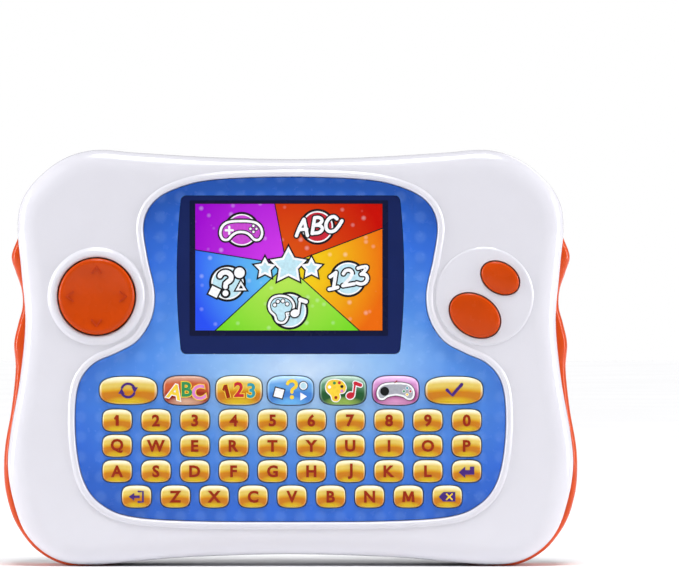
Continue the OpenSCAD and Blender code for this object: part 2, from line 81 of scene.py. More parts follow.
CASE_HALF = [(0, 79.8), (32, 80.6), (62, 82.4), (78, 83.5), (91, 80), (102, 71.5), (108, 62.5),
             (109.5, 52), (108, 35), (106.4, 15), (108.5, -8), (112.3, -30), (113.4, -43),
             (111.5, -56), (107, -69), (99.5, -77.5), (90, -82), (78, -82.8), (62, -81.6),
             (40, -79.8), (0, -78.7)]
GRIP_HALF = [(0, 76), (40, 77), (78, 80), (98, 72), (107, 58), (109.4, 49), (112.2, 41), (110.5, 34.5),
             (108.2, 27.5), (107.8, 20.5), (109.6, 13.5), (111.2, 5.5), (110.6, -5), (112.3, -21),
             (114.6, -34), (115.3, -44), (114.5, -54), (111.2, -65), (105.2, -74.2), (99, -79.5),
             (92, -82.8), (85, -84), (78, -83), (62, -79), (40, -77), (0, -76)]
FASCIA_HALF = [(0, 72.4), (30, 71.3), (45, 68), (54.5, 62.5), (58.6, 53.5), (57, 40), (54.2, 26.5),
               (55.4, 16), (61, 7), (69.5, 2), (78.5, -2.2), (84.2, -9.5), (86, -21.5), (85.2, -38),
               (82, -50.5), (75.4, -58.5), (64, -63.2), (40, -65), (0, -65.3)]

DPAD = (-77.5, 24.7)
DPAD_RADIUS = 15.3
PAD = (77.5, 24.7)
BUTTON_TILT = math.radians(-32)
BUTTONS = {"upper_button": ((83.9, 32.1), (8.1, 5.9)), "lower_button": ((73.8, 17.1), (10.8, 8.0))}
WINDOW = (0, 33.4)
WINDOW_SIZE = (87.2, 63.2)
WINDOW_BULGE = 1.8
WINDOW_CORNER = 2.0

KEY_SIZE = (11.7, 8.8)
WIDE_KEY = (23, 11)
PICTURE_KEY = (18.5, 11.6)
KEY_PITCH = 15.54
ROW_PITCH = 10.16
KEY_TOP = 40.4
FUNCTION_ROW = -12.9
FIRST_ROW = -24.9
KEY_CENTRE_X = 0.6
FUNCTION_KEYS = [("repeat", -64.9), ("letters", -41.6), ("numbers", -20.6), ("question", 0.0),
                 ("colours", 21.0), ("games", 42.1), ("answer", 65.5)]
KEY_ROWS = [list("1234567890"), list("qwertyuiop"), list("asdfghjkl") + ["enter"],
            ["escape"] + list("zxcvbnm") + ["backspace"]]

BIG_FOOT = (72.5, 41.5, 19.0)
SMALL_FOOT = (72.4, -51.3, 9.15)
WELLS = [(58.4, 70.2), (58.4, 12), (95.5, -5), (60, -71)]
WELL_RADIUS = 2.5
WELL_ROUND = 0.35
WELL_FLOOR = 14.0
GRILLE_CENTRE = (0, 42)
DOOR_X = 31.5
DOOR_LOW = -57.1
DOOR_HIGH = 9.3
DOOR_EDGES = (-54.0, 9.0)
DOOR_SCREW = (0, 6)
DOOR_HINGE = (-54.0, 6.3)
HINGE_RADIUS = 2.3
RIDGES = 6
RIDGE_START = -1.0
RIDGE_PITCH = 3.0
SCOOP_RADIUS = 190.0
SCOOP_FLOOR = 75.0
SCOOP_SHELF = 17.0
PORT_LEVEL = 11.2
AV_X = 33.6
DC_X = -29.6


# ---- Placing and mesh helpers ----

def row(x, y, z):
    """A point of the tablet's frame, in the row frame."""
    return Vector((x * MM, CAD_HIGH[1] - z * MM, CAD_LOW[2] + (y - GROUND) * MM))


def curve_point(a, b, c, d, t):
    """Point between b and c on the smooth line through a, b, c and d."""
    return tuple(0.5 * (2 * q + (r - p) * t + (2 * p - 5 * q + 4 * r - s) * t * t
                        + (3 * q - p - 3 * r + s) * t ** 3) for p, q, r, s in zip(a, b, c, d))


def smooth(run, steps):
    """Smooth line through a run of points, less its first and its last."""
    return [curve_point(*run[i:i + 4], s / steps) for i in range(len(run) - 3) for s in range(steps)]


def smooth_loop(points, steps):
    return smooth(points[-1:] + points + points[:2], steps)


def smooth_path(points, steps):
    return smooth(points[:1] + points + points[-1:], steps) + points[-1:]


def both_sides(half):
    return half + [(-x, y) for x, y in half[-2:0:-1]]


def outward(loop):
    """Unit vectors that point out of a clockwise loop, one for each point."""
    along = [Vector(b) - Vector(a) for a, b in zip(loop[-1:] + loop[:-1], loop[1:] + loop[:1])]
    return [Vector((-step.y, step.x)).normalized() for step in along]


def moved_out(loop, distances):
    """Loop moved outwards by a distance, or by one distance for each point."""
    if not isinstance(distances, (list, tuple)):
        distances = [distances] * len(loop)
    return [(x + n.x * d, y + n.y * d) for (x, y), n, d in zip(loop, outward(loop), distances)]


def at_level(loop, z):
    return [(x, y, z) for x, y in loop]


def turned(x, y, angle):
    """Point turned about the origin."""
    return (x * math.cos(angle) - y * math.sin(angle), x * math.sin(angle) + y * math.cos(angle))


def shifted(loop, by):
    return [(x + by[0], y + by[1]) for x, y in loop]


def grown(size, by):
    return (size[0] + by, size[1] + by)


def ellipse(centre, size, turn=0.0, count=64):
    angles = [-2 * math.pi * i / count for i in range(count)]
    return shifted([turned(size[0] * math.cos(a), size[1] * math.sin(a), turn) for a in angles], centre)


def circle(centre, radius, count=64):
    return ellipse(centre, (radius, radius), 0.0, count)


def corners(centre, reach, angles):
    """Polygon whose corners all lie at one distance from its centre."""
    return [(centre[0] + reach * math.cos(a), centre[1] + reach * math.sin(a)) for a in angles]


def squircle(centre, size, power, count=56):
    """Rounded rectangle of that width and height, rounder with a smaller power."""
    def reach(part, whole):
        return whole / 2 * math.copysign(abs(part) ** (2 / power), part)
    angles = [-2 * math.pi * i / count for i in range(count)]
    return shifted([(reach(math.cos(a), size[0]), reach(math.sin(a), size[1])) for a in angles], centre)


def rounded_rect(centre, size, corner, steps=6):
    loop = []
    for q, (sx, sy) in enumerate([(1, 1), (1, -1), (-1, -1), (-1, 1)]):
        middle = (centre[0] + sx * (size[0] / 2 - corner), centre[1] + sy * (size[1] / 2 - corner))
        loop += corners(middle, corner, [math.pi / 2 * (1 - q - i / steps) for i in range(steps + 1)])
    return loop


def pill(centre, size):
    """Slot with round ends at its left and right."""
    return rounded_rect(centre, size, size[1] / 2 - PILL_FLAT)


def stack(outline, profile, base=0.0):
    """Loops of an outline, for a profile of pairs: the outline's number, and the level over the base."""
    return [at_level(outline(number), base + level) for number, level in profile]


PILL_FLAT = 0.01
SMOOTH_ANGLE = 35.0
WELD_DISTANCE = MM / 1000


class Shape:
    """Points and faces of one mesh, with a material number for each face."""

    def __init__(self):
        self.points = []
        self.faces = []
        self.numbers = []

    def add_points(self, points):
        start = len(self.points)
        self.points.extend(points)
        return list(range(start, start + len(points)))

    def face(self, indices, number=0):
        self.faces.append(indices)
        self.numbers.append(number)

    def bridge(self, loops, number=0):
        """Walls through loops of point numbers, which all have the same count."""
        for low, high in zip(loops, loops[1:]):
            for i in range(len(low)):
                self.face([low[i - 1], low[i], high[i], high[i - 1]], number)

    def tube(self, loops):
        """Open walls through a stack of loops of points, whose point numbers it gives."""
        rings = [self.add_points(loop) for loop in loops]
        self.bridge(rings)
        return rings

    def round_tube(self, centre, profile, base=0.0, count=72):
        """Open walls of revolution, from pairs of a radius and a level over the base."""
        return self.tube(stack(lambda radius: circle(centre, radius, count), profile, base))

    def cap(self, ring):
        self.face(list(ring))

    def fan(self, ring, tip):
        """Closes a ring with triangles that meet in one point."""
        tip_number = self.add_points([tip])[0]
        for i in range(len(ring)):
            self.face([ring[i - 1], ring[i], tip_number])

    def cap_with_holes(self, outer, holes, number=0):
        """Flat face between a loop and the holes in it, given as point numbers."""
        loops = [outer] + holes
        flat = [[Vector((self.points[i][0], self.points[i][1], 0)) for i in loop] for loop in loops]
        numbers = [i for loop in loops for i in loop]
        for triangle in tessellate_polygon(flat):
            self.face([numbers[i] for i in triangle], number)

    def loft(self, loops):
        """Closed solid through a stack of loops of points."""
        rings = self.tube(loops)
        self.cap(rings[0])
        self.cap(rings[-1])

    def plate(self, loops, low, high, number=0):
        """Flat plate between two levels, whose later loops are holes."""
        lows = [self.add_points(at_level(loop, low)) for loop in loops]
        highs = [self.add_points(at_level(loop, high)) for loop in loops]
        self.cap_with_holes(lows[0], lows[1:], number)
        self.cap_with_holes(highs[0], highs[1:], number)
        for a, b in zip(lows, highs):
            self.bridge([a, b], number)

    def lathe(self, centre, profile):
        """Solid of revolution along z, from a (radius, z) profile that starts and ends at radius 0."""
        rings = self.round_tube(centre, profile[1:-1])
        self.fan(rings[0], (*centre, profile[0][1]))
        self.fan(rings[-1], (*centre, profile[-1][1]))

    def text(self, words, centre, height, low, high, number, bold, turn=0.0):
        """Letters or digits as raised plates centred on a point."""
        points, faces = glyphs(words, bold)
        size = height / GLYPH_HEIGHT
        flat = shifted([turned(size * x, size * y, turn) for x, y in points], centre)
        lows = self.add_points(at_level(flat, low))
        highs = self.add_points(at_level(flat, high))
        for f in faces:
            self.face([lows[i] for i in f], number)
            self.face([highs[i] for i in f], number)
        for a, b in border(faces):
            self.face([lows[a], lows[b], highs[b], highs[a]], number)

    def object(self, name, materials, smooth_angle=SMOOTH_ANGLE, weld=False):
        """The finished mesh as an object. Points that lie in one place are joined if weld is set."""
        mesh = bpy.data.meshes.new(name)
        mesh.from_pydata([row(*p) for p in self.points], [], self.faces)
        for m in materials:
            mesh.materials.append(m)
        mesh.polygons.foreach_set("material_index", self.numbers)
        work = bmesh.new()
        work.from_mesh(mesh)
        if weld:
            bmesh.ops.remove_doubles(work, verts=work.verts, dist=WELD_DISTANCE)
        bmesh.ops.recalc_face_normals(work, faces=work.faces)
        work.to_mesh(mesh)
        work.free()
        mesh.shade_smooth()
        mesh.set_sharp_from_angle(angle=math.radians(smooth_angle))
        piece = bpy.data.objects.new(name, mesh)
        bpy.context.scene.collection.objects.link(piece)
        return piece


def border(faces):
    """Edges that only one face has, in that face's direction."""
    seen = {}
    for f in faces:
        for a, b in zip(f, list(f[1:]) + [f[0]]):
            key = (min(a, b), max(a, b))
            seen[key] = None if key in seen else (a, b)
    return [edge for edge in seen.values() if edge]


GLYPH_HEIGHT = 0.7
GLYPH_WELD = 1e-5
DRAWN_GLYPHS = {
    "1": [(-0.17, 0.13), (-0.03, 0.33), (0.08, 0.33), (0.08, -0.33), (-0.05, -0.33), (-0.05, 0.12),
          (-0.11, 0.04)],
    "M": [(-0.36, -0.33), (-0.30, 0.33), (-0.20, 0.33), (0, -0.05), (0.20, 0.33), (0.30, 0.33),
          (0.36, -0.33), (0.25, -0.33), (0.21, 0.08), (0.04, -0.28), (-0.04, -0.28), (-0.21, 0.08),
          (-0.25, -0.33)]}
glyph_store = {}


def glyphs(words, bold):
    """Flat filled shapes of some text in the built-in font, centred on the origin: points and faces."""
    if words in DRAWN_GLYPHS:
        points = moved_out(DRAWN_GLYPHS[words], bold)
        return points, tessellate_polygon([[Vector((x, y, 0)) for x, y in points]])
    key = (words, bold)
    if key not in glyph_store:
        curve = bpy.data.curves.new("glyphs", "FONT")
        curve.body = words
        curve.size = 1.0
        curve.offset = bold
        curve.resolution_u = 3
        curve.align_x = "CENTER"
        holder = bpy.data.objects.new("glyphs", curve)
        bpy.context.scene.collection.objects.link(holder)
        bpy.context.view_layer.update()
        flat = bpy.data.meshes.new_from_object(holder)
        work = bmesh.new()
        work.from_mesh(flat)
        bmesh.ops.remove_doubles(work, verts=work.verts, dist=GLYPH_WELD)
        work.verts.index_update()
        xs = [v.co.x for v in work.verts]
        ys = [v.co.y for v in work.verts]
        middle = ((max(xs) + min(xs)) / 2, (max(ys) + min(ys)) / 2)
        points = [(x - middle[0], y - middle[1]) for x, y in zip(xs, ys)]
        glyph_store[key] = (points, [[v.index for v in f.verts] for f in work.faces])
        work.free()
        bpy.data.objects.remove(holder)
        bpy.data.curves.remove(curve)
        bpy.data.meshes.remove(flat)
    return glyph_store[key]


def place(piece, body, slot, *nodes):
    """Puts a piece on its body and hides the CAD nodes it stands for. The slot is not used."""
    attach(piece, body)
    if nodes:
        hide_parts(*nodes)


def apply_modifiers(piece):
    """Keeps the shape that a piece's modifiers make, and removes them."""
    bpy.context.view_layer.update()
    graph = bpy.context.evaluated_depsgraph_get()
    mesh = bpy.data.meshes.new_from_object(piece.evaluated_get(graph))
    piece.modifiers.clear()
    piece.data = mesh


# ---- Materials ----

def linear(r, g, b):
    """A colour given as 0 to 255 on a display, as the shader takes it."""
    def one(v):
        v /= 255
        return v / 12.92 if v <= 0.04045 else ((v + 0.055) / 1.055) ** 2.4
    return (one(r), one(g), one(b), 1.0)


def grey(value):
    return (value, value, value, 1)


def scaled(colour, factor):
    """Darker or lighter colour, never over full strength."""
    return tuple(min(1.0, c * factor) for c in colour[:3]) + (1,)


def add_node(tree, kind, inputs, **settings):
    """New node with its settings, and a link or a fixed value for each of the inputs named."""
    made = tree.nodes.new(kind)
    for key, value in settings.items():
        setattr(made, key, value)
    for key, value in inputs.items():
        if isinstance(value, bpy.types.NodeSocket):
            tree.links.new(value, made.inputs[key])
        else:
            made.inputs[key].default_value = value
    return made


COAT_ROUGHNESS = 0.06
MOTTLE_LOW = 0.35
MOTTLE_HIGH = 0.65
SPECKLE_LOW = 0.3
SPECKLE_HIGH = 0.7


class Nodes:
    """A material under construction."""

    def __init__(self, name, roughness, coat=0.0, specular=0.35):
        self.material = bpy.data.materials.new(name)
        self.material.use_nodes = True
        self.tree = self.material.node_tree
        self.shader = self.tree.nodes["Principled BSDF"]
        self.shader.inputs["Roughness"].default_value = roughness
        self.shader.inputs["Coat Weight"].default_value = coat
        self.shader.inputs["Coat Roughness"].default_value = COAT_ROUGHNESS
        self.shader.inputs["Specular IOR Level"].default_value = specular

    def node(self, kind, inputs, **settings):
        return add_node(self.tree, kind, inputs, **settings)

    def drive(self, name, socket):
        """Links a socket to one of the shader's inputs."""
        self.tree.links.new(socket, self.shader.inputs[name])

    def coordinates(self, kind="Object"):
        return self.node("ShaderNodeTexCoord", {}).outputs[kind]

    def noise(self, scale, detail):
        inputs = {"Scale": scale, "Detail": detail, "Vector": self.coordinates()}
        return self.node("ShaderNodeTexNoise", inputs).outputs["Fac"]

    def ramp(self, factor, stops):
        made = self.node("ShaderNodeValToRGB", {"Fac": factor})
        elements = made.color_ramp.elements
        while len(elements) < len(stops):
            elements.new(0.5)
        for element, (position, colour) in zip(elements, stops):
            element.position = position
            element.color = colour
        return made.outputs["Color"]

    def grey_ramp(self, factor, stops):
        return self.ramp(factor, [(position, grey(value)) for position, value in stops])

    def mottled(self, scale, detail, dark, light):
        """Colour that wanders between two, from noise of that scale and detail."""
        return self.ramp(self.noise(scale, detail), [(MOTTLE_LOW, dark), (MOTTLE_HIGH, light)])

    def speckled(self, scale, detail, dark, light):
        """The same between two display colours, a little softer."""
        stops = [(SPECKLE_LOW, linear(*dark)), (SPECKLE_HIGH, linear(*light))]
        return self.ramp(self.noise(scale, detail), stops)

    def veil(self, scale, detail, strength):
        """Faint uneven factor, from none to that strength."""
        return self.grey_ramp(self.noise(scale, detail), [(SPECKLE_LOW, 0.0), (SPECKLE_HIGH, strength)])

    def mix(self, factor, a, b):
        return self.node("ShaderNodeMix", {0: factor, 6: a, 7: b}, data_type="RGBA").outputs[2]

    def math(self, operation, *values):
        return self.node("ShaderNodeMath", dict(enumerate(values)), operation=operation).outputs[0]

    def times(self, a, b):
        return self.math("MULTIPLY", a, b)

    def spread(self, a, b):
        """Length of the hypotenuse over a and b."""
        return self.math("SQRT", self.math("ADD", self.times(a, a), self.times(b, b)))

    def axes(self, kind="Object"):
        made = self.node("ShaderNodeSeparateXYZ", {0: self.coordinates(kind)})
        return made.outputs["X"], made.outputs["Y"], made.outputs["Z"]

    def distance(self, point, stretch=(1.0, 1.0)):
        """Distance in millimetres, along the face, from a point of the tablet's frame."""
        x, _, z = self.axes()
        target = row(point[0], point[1], 0)
        across = self.times(self.math("SUBTRACT", x, target.x), 1 / (MM * stretch[0]))
        up = self.times(self.math("SUBTRACT", z, target.z), 1 / (MM * stretch[1]))
        return self.spread(across, up)

    def colour(self, socket):
        self.drive("Base Color", socket)

    def bump(self, height, strength, distance):
        made = self.node("ShaderNodeBump", {"Height": height, "Strength": strength, "Distance": distance})
        self.drive("Normal", made.outputs["Normal"])

    def uneven_gloss(self, scale, low, high):
        """Roughness that wanders between two values."""
        self.drive("Roughness", self.mottled(scale, 3, grey(low), grey(high)))


def moulded(name, colour, roughness, coat=0.0, grain=1400, relief=0.00002, mottling=0.04, specular=0.35,
            gloss=0.18):
    """Moulded plastic: faint mottling, uneven gloss and a fine grain."""
    m = Nodes(name, roughness, coat, specular)
    m.colour(m.mottled(90, 4, scaled(colour, 1 - mottling), scaled(colour, 1 + mottling)))
    m.uneven_gloss(120, roughness * (1 - gloss), roughness * (1 + gloss))
    m.bump(m.noise(grain, 4), 0.35, relief)
    return m.material


WHITE = linear(215, 214, 222)
white = moulded("glossy_white_abs", WHITE, 0.24, coat=0.5, grain=1600, relief=0.000001, mottling=0.006,
                gloss=0.04)
grip_orange = moulded("orange_grip", linear(202, 66, 0), 0.4, coat=0.4, grain=2600, relief=0.00001,
                      specular=0.15)
button_orange = moulded("orange_button", linear(193, 64, 0), 0.26, coat=0.12, grain=900, relief=0.00001,
                        specular=0.12)
button_mark = moulded("pressed_mark", linear(176, 52, 2), 0.4, specular=0.2)
black_plastic = moulded("black_plastic", linear(28, 28, 31), 0.4, grain=2400, relief=0.00003)
grey_plastic = moulded("grey_acetal", linear(170, 170, 172), 0.42)
rubber = moulded("grey_silicone", linear(186, 188, 190), 0.6, grain=1800)
screw_black = moulded("blackened_steel", linear(38, 38, 42), 0.32, mottling=0.15)
screw_black.node_tree.nodes["Principled BSDF"].inputs["Metallic"].default_value = 1.0
navy = moulded("dark_window", linear(20, 34, 86), 0.2, specular=0.12, relief=0.000002)
navy_line = moulded("window_frame", linear(12, 18, 52), 0.25, specular=0.12, relief=0.000002)

GLOW_CENTRE = (6, -6)
GLOW_STRETCH = 1.9
GLOW_REACH = 76.0
DOT_PITCH = 8 * MM


def fascia_material():
    """Printed sheet: blue with a pale glow under the display and rows of faint dots."""
    m = Nodes("printed_blue_fascia", 0.25, coat=0.15, specular=0.25)
    glow = m.distance(GLOW_CENTRE, (GLOW_STRETCH, 1.0))
    base = m.ramp(m.times(glow, 1 / GLOW_REACH), [
        (0.0, linear(200, 220, 240)), (0.2, linear(142, 186, 232)), (0.42, linear(80, 140, 224)),
        (0.72, linear(48, 108, 214)), (0.9, linear(36, 92, 190)), (1.0, linear(34, 88, 182))])
    x, _, z = m.axes()
    cell = [m.math("SUBTRACT", m.math("FRACT", m.times(axis, 1 / DOT_PITCH)), 0.5) for axis in (x, z)]
    dots = m.grey_ramp(m.spread(*cell), [(0.18, 0.10), (0.36, 0.0)])
    spotted = m.mix(dots, base, linear(150, 190, 245))
    m.colour(m.mix(m.veil(160, 5, 0.10), spotted, linear(36, 80, 190)))
    m.uneven_gloss(300, 0.18, 0.28)
    m.bump(m.noise(1500, 3), 0.2, 0.00001)
    return m.material


def key_material(name, top, upper, step, lower, glow):
    """Printed cap under a clear coat, deeper below with a bright spot low down, paled at the top and rim
    by painted highlight.
    """
    m = Nodes(name, 0.22, coat=0.12, specular=0.2)
    across, _, up = m.axes("Generated")
    centred = m.math("SUBTRACT", m.times(across, 2.0), 1.0)
    squared = m.times(centred, centred)
    height = m.math("ADD", up, m.times(squared, 0.07))
    # Printed colours, paler towards the top partly as a painted highlight.
    base = m.ramp(height, [(0.0, lower), (0.45, lower), (0.53, step), (0.66, upper), (0.76, upper),
                           (0.93, top)])
    low = m.math("SUBTRACT", up, 0.10)
    spot = m.math("ADD", m.times(squared, 0.5), m.times(m.times(low, low), 9.0))
    base = m.mix(m.grey_ramp(spot, [(0.0, 0.8), (0.36, 0.0)]), base, glow)
    tall = m.math("SUBTRACT", m.times(up, 2.0), 1.0)
    edge = m.math("ADD", *[m.math("POWER", m.math("ABSOLUTE", part), 4.0) for part in (centred, tall)])
    # Pale rim: a painted highlight, strongest towards the top.
    highlight_from_above = m.grey_ramp(up, [(0.3, 0.45), (0.75, 1.0)])
    rim = m.times(m.grey_ramp(edge, [(0.66, 0.0), (0.9, 0.8)]), highlight_from_above)
    base = m.mix(rim, base, top)
    m.colour(m.mix(m.veil(420, 4, 0.14), base, lower))
    m.bump(m.noise(700, 2), 0.15, 0.00002)
    return m.material


def printed(name, colour):
    """Printing ink: one colour with a slight unevenness."""
    m = Nodes(name, 0.35, specular=0.2)
    m.colour(m.mix(m.mottled(900, 3, grey(0), grey(1)), colour, scaled(colour, 0.86)))
    m.bump(m.noise(2400, 2), 0.15, 0.00001)
    return m.material


fascia_blue = fascia_material()
# For each key colour: a pale top that is partly painted highlight, then upper, step, lower, and the bright
# spot.
KEY_COLOURS = {
    "amber": [(242, 238, 206), (220, 196, 100), (212, 162, 30), (196, 118, 2), (222, 198, 12)],
    "red": [(204, 156, 134), (196, 92, 52), (184, 70, 34), (148, 34, 4), (232, 190, 160)],
    "blue": [(176, 212, 240), (104, 162, 220), (84, 148, 214), (62, 124, 204), (112, 190, 246)],
    "green": [(176, 204, 186), (96, 146, 114), (52, 104, 64), (16, 80, 32), (164, 198, 84)],
    "pink": [(230, 190, 230), (206, 142, 196), (178, 92, 156), (160, 68, 132), (226, 164, 208)]}
key_materials = {"key_" + name: key_material(name + "_key", *[linear(*colour) for colour in colours])
                 for name, colours in KEY_COLOURS.items()}

INK_COLOURS = [("black", 16, 16, 20), ("white", 246, 246, 250), ("pale_blue", 190, 226, 238),
               ("crimson", 196, 34, 52), ("plum", 196, 70, 204), ("yellow", 246, 208, 60),
               ("green", 48, 142, 84), ("pink", 220, 132, 200), ("teal", 50, 154, 172),
               ("grey", 168, 170, 180), ("red", 150, 38, 0), ("purple", 70, 38, 122)]
BLACK, CLEAR, PALE, CRIMSON, PLUM, YELLOW, GREEN, PINK, TEAL, GREY, RED, PURPLE = range(len(INK_COLOURS))
inks = [printed(name + "_ink", linear(*colour)) for name, *colour in INK_COLOURS]


# ---- Case ----

case_outline = [(x, min(y, TOP)) for x, y in smooth_loop(both_sides(CASE_HALF), OUTLINE_STEPS)]
grip_outline = smooth_loop(both_sides(GRIP_HALF), OUTLINE_STEPS)
fascia_outline = smooth_loop(both_sides(FASCIA_HALF), OUTLINE_STEPS)

ROLL_MARGIN = 0.35
LIP_PROFILE = [(3.1, 0.0), (2.9, 0.1), (2.7, 0.34), (2.4, 0.64), (2.0, 0.82), (1.5, 0.86), (1.0, 0.8),
               (0.65, 0.6), (0.4, 0.2), (0.28, -0.4), (0.22, -1.4), (0.22, -3.0)]
RING_PROFILE = [(19.75, 0.0), (19.55, 0.1), (19.3, 0.38), (18.9, 0.78), (18.4, 1.12), (17.8, 1.34),
                (17.2, 1.4), (16.6, 1.3), (16.1, 1.08), (15.82, 0.7), (15.75, 0.2), (15.75, -0.5),
                (16.15, -1.2), (16.15, -5.5)]
PAD_PROFILE = [(19.75, 0.0), (19.6, 0.12), (19.35, 0.34), (19.0, 0.46), (18.5, 0.5)]
BUTTON_HOLE = [(0.75, 0.0), (0.5, -0.12), (0.4, -0.4), (0.4, -4.0)]
ROLL_STEPS = 14
ROLL_SMOOTHING = 6
GRIP_STEP = 0.05
PARTING = 0.3
WALL = 1.5


def roll_widths(room):
    """Width of the rolled edge at each point of the case, less where something comes near."""
    widths = [min(ROLL, room(point) - ROLL_MARGIN) for point in case_outline]
    n = len(widths)
    for _ in range(ROLL_SMOOTHING):
        widths = [min(widths[i], (widths[i - 1] + widths[i] + widths[(i + 1) % n]) / 3) for i in range(n)]
    return widths


def room_to_lip(point):
    return min(math.dist(point, lip) for lip in moved_out(fascia_outline, LIP_PROFILE[0][0]))


def room_to_wells(point):
    centres = [(side * x, y) for side in (-1, 1) for x, y in WELLS]
    return min(math.dist(point, centre) for centre in centres) - WELL_RADIUS - WELL_ROUND


def in_grip(point):
    return abs(point[0]) > GRIP_INNER and point[1] < GRIP_TOP


def side_loops(direction, widths, reach):
    """Case wall from the grooved seam to the flat face: stepped in behind the grips, then rolled over."""
    seat = [-GRIP_SEAT if in_grip(p) else 0.0 for p in case_outline]
    edge = SEAM + direction * GRIP_DEPTH / 2
    loops = [at_level(moved_out(case_outline, [s - PARTING for s in seat]), SEAM),
             at_level(moved_out(case_outline, seat), SEAM + direction * PARTING),
             at_level(moved_out(case_outline, seat), edge - direction * GRIP_STEP),
             at_level(case_outline, edge)]
    for i in range(ROLL_STEPS + 1):
        a = math.radians(i * 90 / ROLL_STEPS)
        inward = [-w * (1 - math.cos(a)) for w in widths]
        level = reach - direction * ROLL_DEPTH * (1 - math.sin(a))
        loops.append(at_level(moved_out(case_outline, inward), level))
    return loops


def front_shell():
    """Front half with its rolled edge, the lip round the fascia and both round surrounds."""
    shape = Shape()
    edge = shape.tube(side_loops(1, roll_widths(room_to_lip), FACE))[-1]
    lip = shape.tube(stack(lambda out: moved_out(fascia_outline, out), LIP_PROFILE, FACE))[0]
    ring = shape.round_tube(DPAD, RING_PROFILE, FACE, 96)[0]
    pad = shape.round_tube(PAD, PAD_PROFILE, FACE, 96)
    shape.cap_with_holes(edge, [lip, ring, pad[0]])
    pad_top = FACE + PAD_PROFILE[-1][1]
    holes = []
    for centre, size in BUTTONS.values():
        loops = stack(lambda out: ellipse(centre, grown(size, out), BUTTON_TILT), BUTTON_HOLE, pad_top)
        holes.append(shape.tube(loops)[0])
    shape.cap_with_holes(pad[-1], holes)
    piece = shape.object("front_shell_white", [white], weld=True)
    thicken(piece)
    flatten_shading(piece)
    place(piece, "tablet", "front_white", "front_shell")


def thicken(piece):
    """Gives a skin its wall, on the inside."""
    solid = piece.modifiers.new("wall", "SOLIDIFY")
    solid.thickness = WALL * MM
    solid.offset = -1
    apply_modifiers(piece)
    piece.data.set_sharp_from_angle(angle=math.radians(SMOOTH_ANGLE))


def flatten_shading(piece):
    """Keeps large flat faces evenly shaded up to the rounded edges beside them."""
    weighted = piece.modifiers.new("normals", "WEIGHTED_NORMAL")
    weighted.keep_sharp = True
    weighted.weight = 100
    apply_modifiers(piece)


# ---- Side grips ----

GRIP_EDGE = [(0.0, 2.6), (0.25, 1.5), (0.7, 0.9), (1.4, 0.45), (2.4, 0.15), (3.6, 0.0)]
GRIP_GAP = 0.1
GRIP_LOW = -78
GRIP_END_INSET = 0.25


def side_grips():
    """Each grip bulges out of the case's side, with rounded edges, and wraps round its lower corner."""
    half = GRIP_DEPTH / 2 - GRIP_GAP
    levels = [(SEAM - half + depth, inset) for depth, inset in GRIP_EDGE]
    levels += [(SEAM + half - depth, inset) for depth, inset in reversed(GRIP_EDGE)]
    pairs = list(enumerate(zip(grip_outline, grip_outline[1:])))
    first = next(i for i, (a, b) in pairs if a[0] > 0 and b[1] < GRIP_TOP)
    last = next(i for i, (a, b) in pairs if i > first and a[1] < GRIP_LOW and b[0] < GRIP_INNER) + 1
    inner = moved_out(grip_outline, -GRIP_THICK)[last:first - 1:-1]
    shape = Shape()
    for side in (1, -1):
        loops = []
        for z, inset in levels:
            insets = [-inset] * len(grip_outline)
            insets[first] -= GRIP_END_INSET
            insets[last] -= GRIP_END_INSET
            edge = moved_out(grip_outline, insets)[first:last + 1]
            loop = [(x, max(y, GROUND)) for x, y in edge] + [(x, max(y, GROUND + 1)) for x, y in inner]
            loops.append([(side * x, y, z) for x, y in loop])
        shape.loft(loops)
    place(shape.object("side_grips_orange", [grip_orange], 50), "tablet", "grip_orange", "side_grips")


# ---- Fascia and display ----

FASCIA_THICK = 1.8
WINDOW_THICK = 1.5
WINDOW_GAP = 0.15
CORNER_STEPS = 6
SIDE_STEPS = 10
KEY_GAP = 0.7


def window_loop(margin=0.0):
    """Outline of the display window: straight above and below, bulging at both sides."""
    width, height = WINDOW_SIZE[0] / 2 + margin, WINDOW_SIZE[1] / 2 + margin
    straight = height - WINDOW_CORNER
    side = []
    for i in range(CORNER_STEPS + 1):
        a = math.radians(90 * i / CORNER_STEPS)
        side.append((-WINDOW_CORNER * (1 - math.sin(a)), straight + WINDOW_CORNER * math.cos(a)))
    side += [(0.0, straight * (1 - i / SIDE_STEPS)) for i in range(1, 2 * SIDE_STEPS)]
    side += [(inset, -y) for inset, y in side[CORNER_STEPS::-1]]
    loop = []
    for across in (1, -1):
        for inset, y in side[::across]:
            bulge = WINDOW_BULGE * (1 - (y / height) ** 2)
            loop.append((WINDOW[0] + across * (width + bulge + inset), WINDOW[1] + y))
    return loop


def all_keys():
    """Every key as (name, centre, size)."""
    keys = []
    for name, x in FUNCTION_KEYS:
        size = WIDE_KEY if name in ("repeat", "answer") else PICTURE_KEY
        keys.append((name, (x, FUNCTION_ROW), size))
    for r, names in enumerate(KEY_ROWS):
        for i, name in enumerate(names):
            x = KEY_CENTRE_X + (i - (len(names) - 1) / 2) * KEY_PITCH
            keys.append((name, (x, FIRST_ROW - r * ROW_PITCH), KEY_SIZE))
    return keys


def key_power(size):
    return 2.9 if size == WIDE_KEY else 3.3


def fascia():
    shape = Shape()
    holes = [window_loop(WINDOW_GAP)]
    holes += [squircle(centre, grown(size, KEY_GAP), key_power(size)) for _, centre, size in all_keys()]
    shape.plate([fascia_outline] + holes, FASCIA_TOP - FASCIA_THICK, FASCIA_TOP)
    place(shape.object("fascia_sheet", [fascia_blue]), "tablet", "fascia_blue", "fascia_panel")


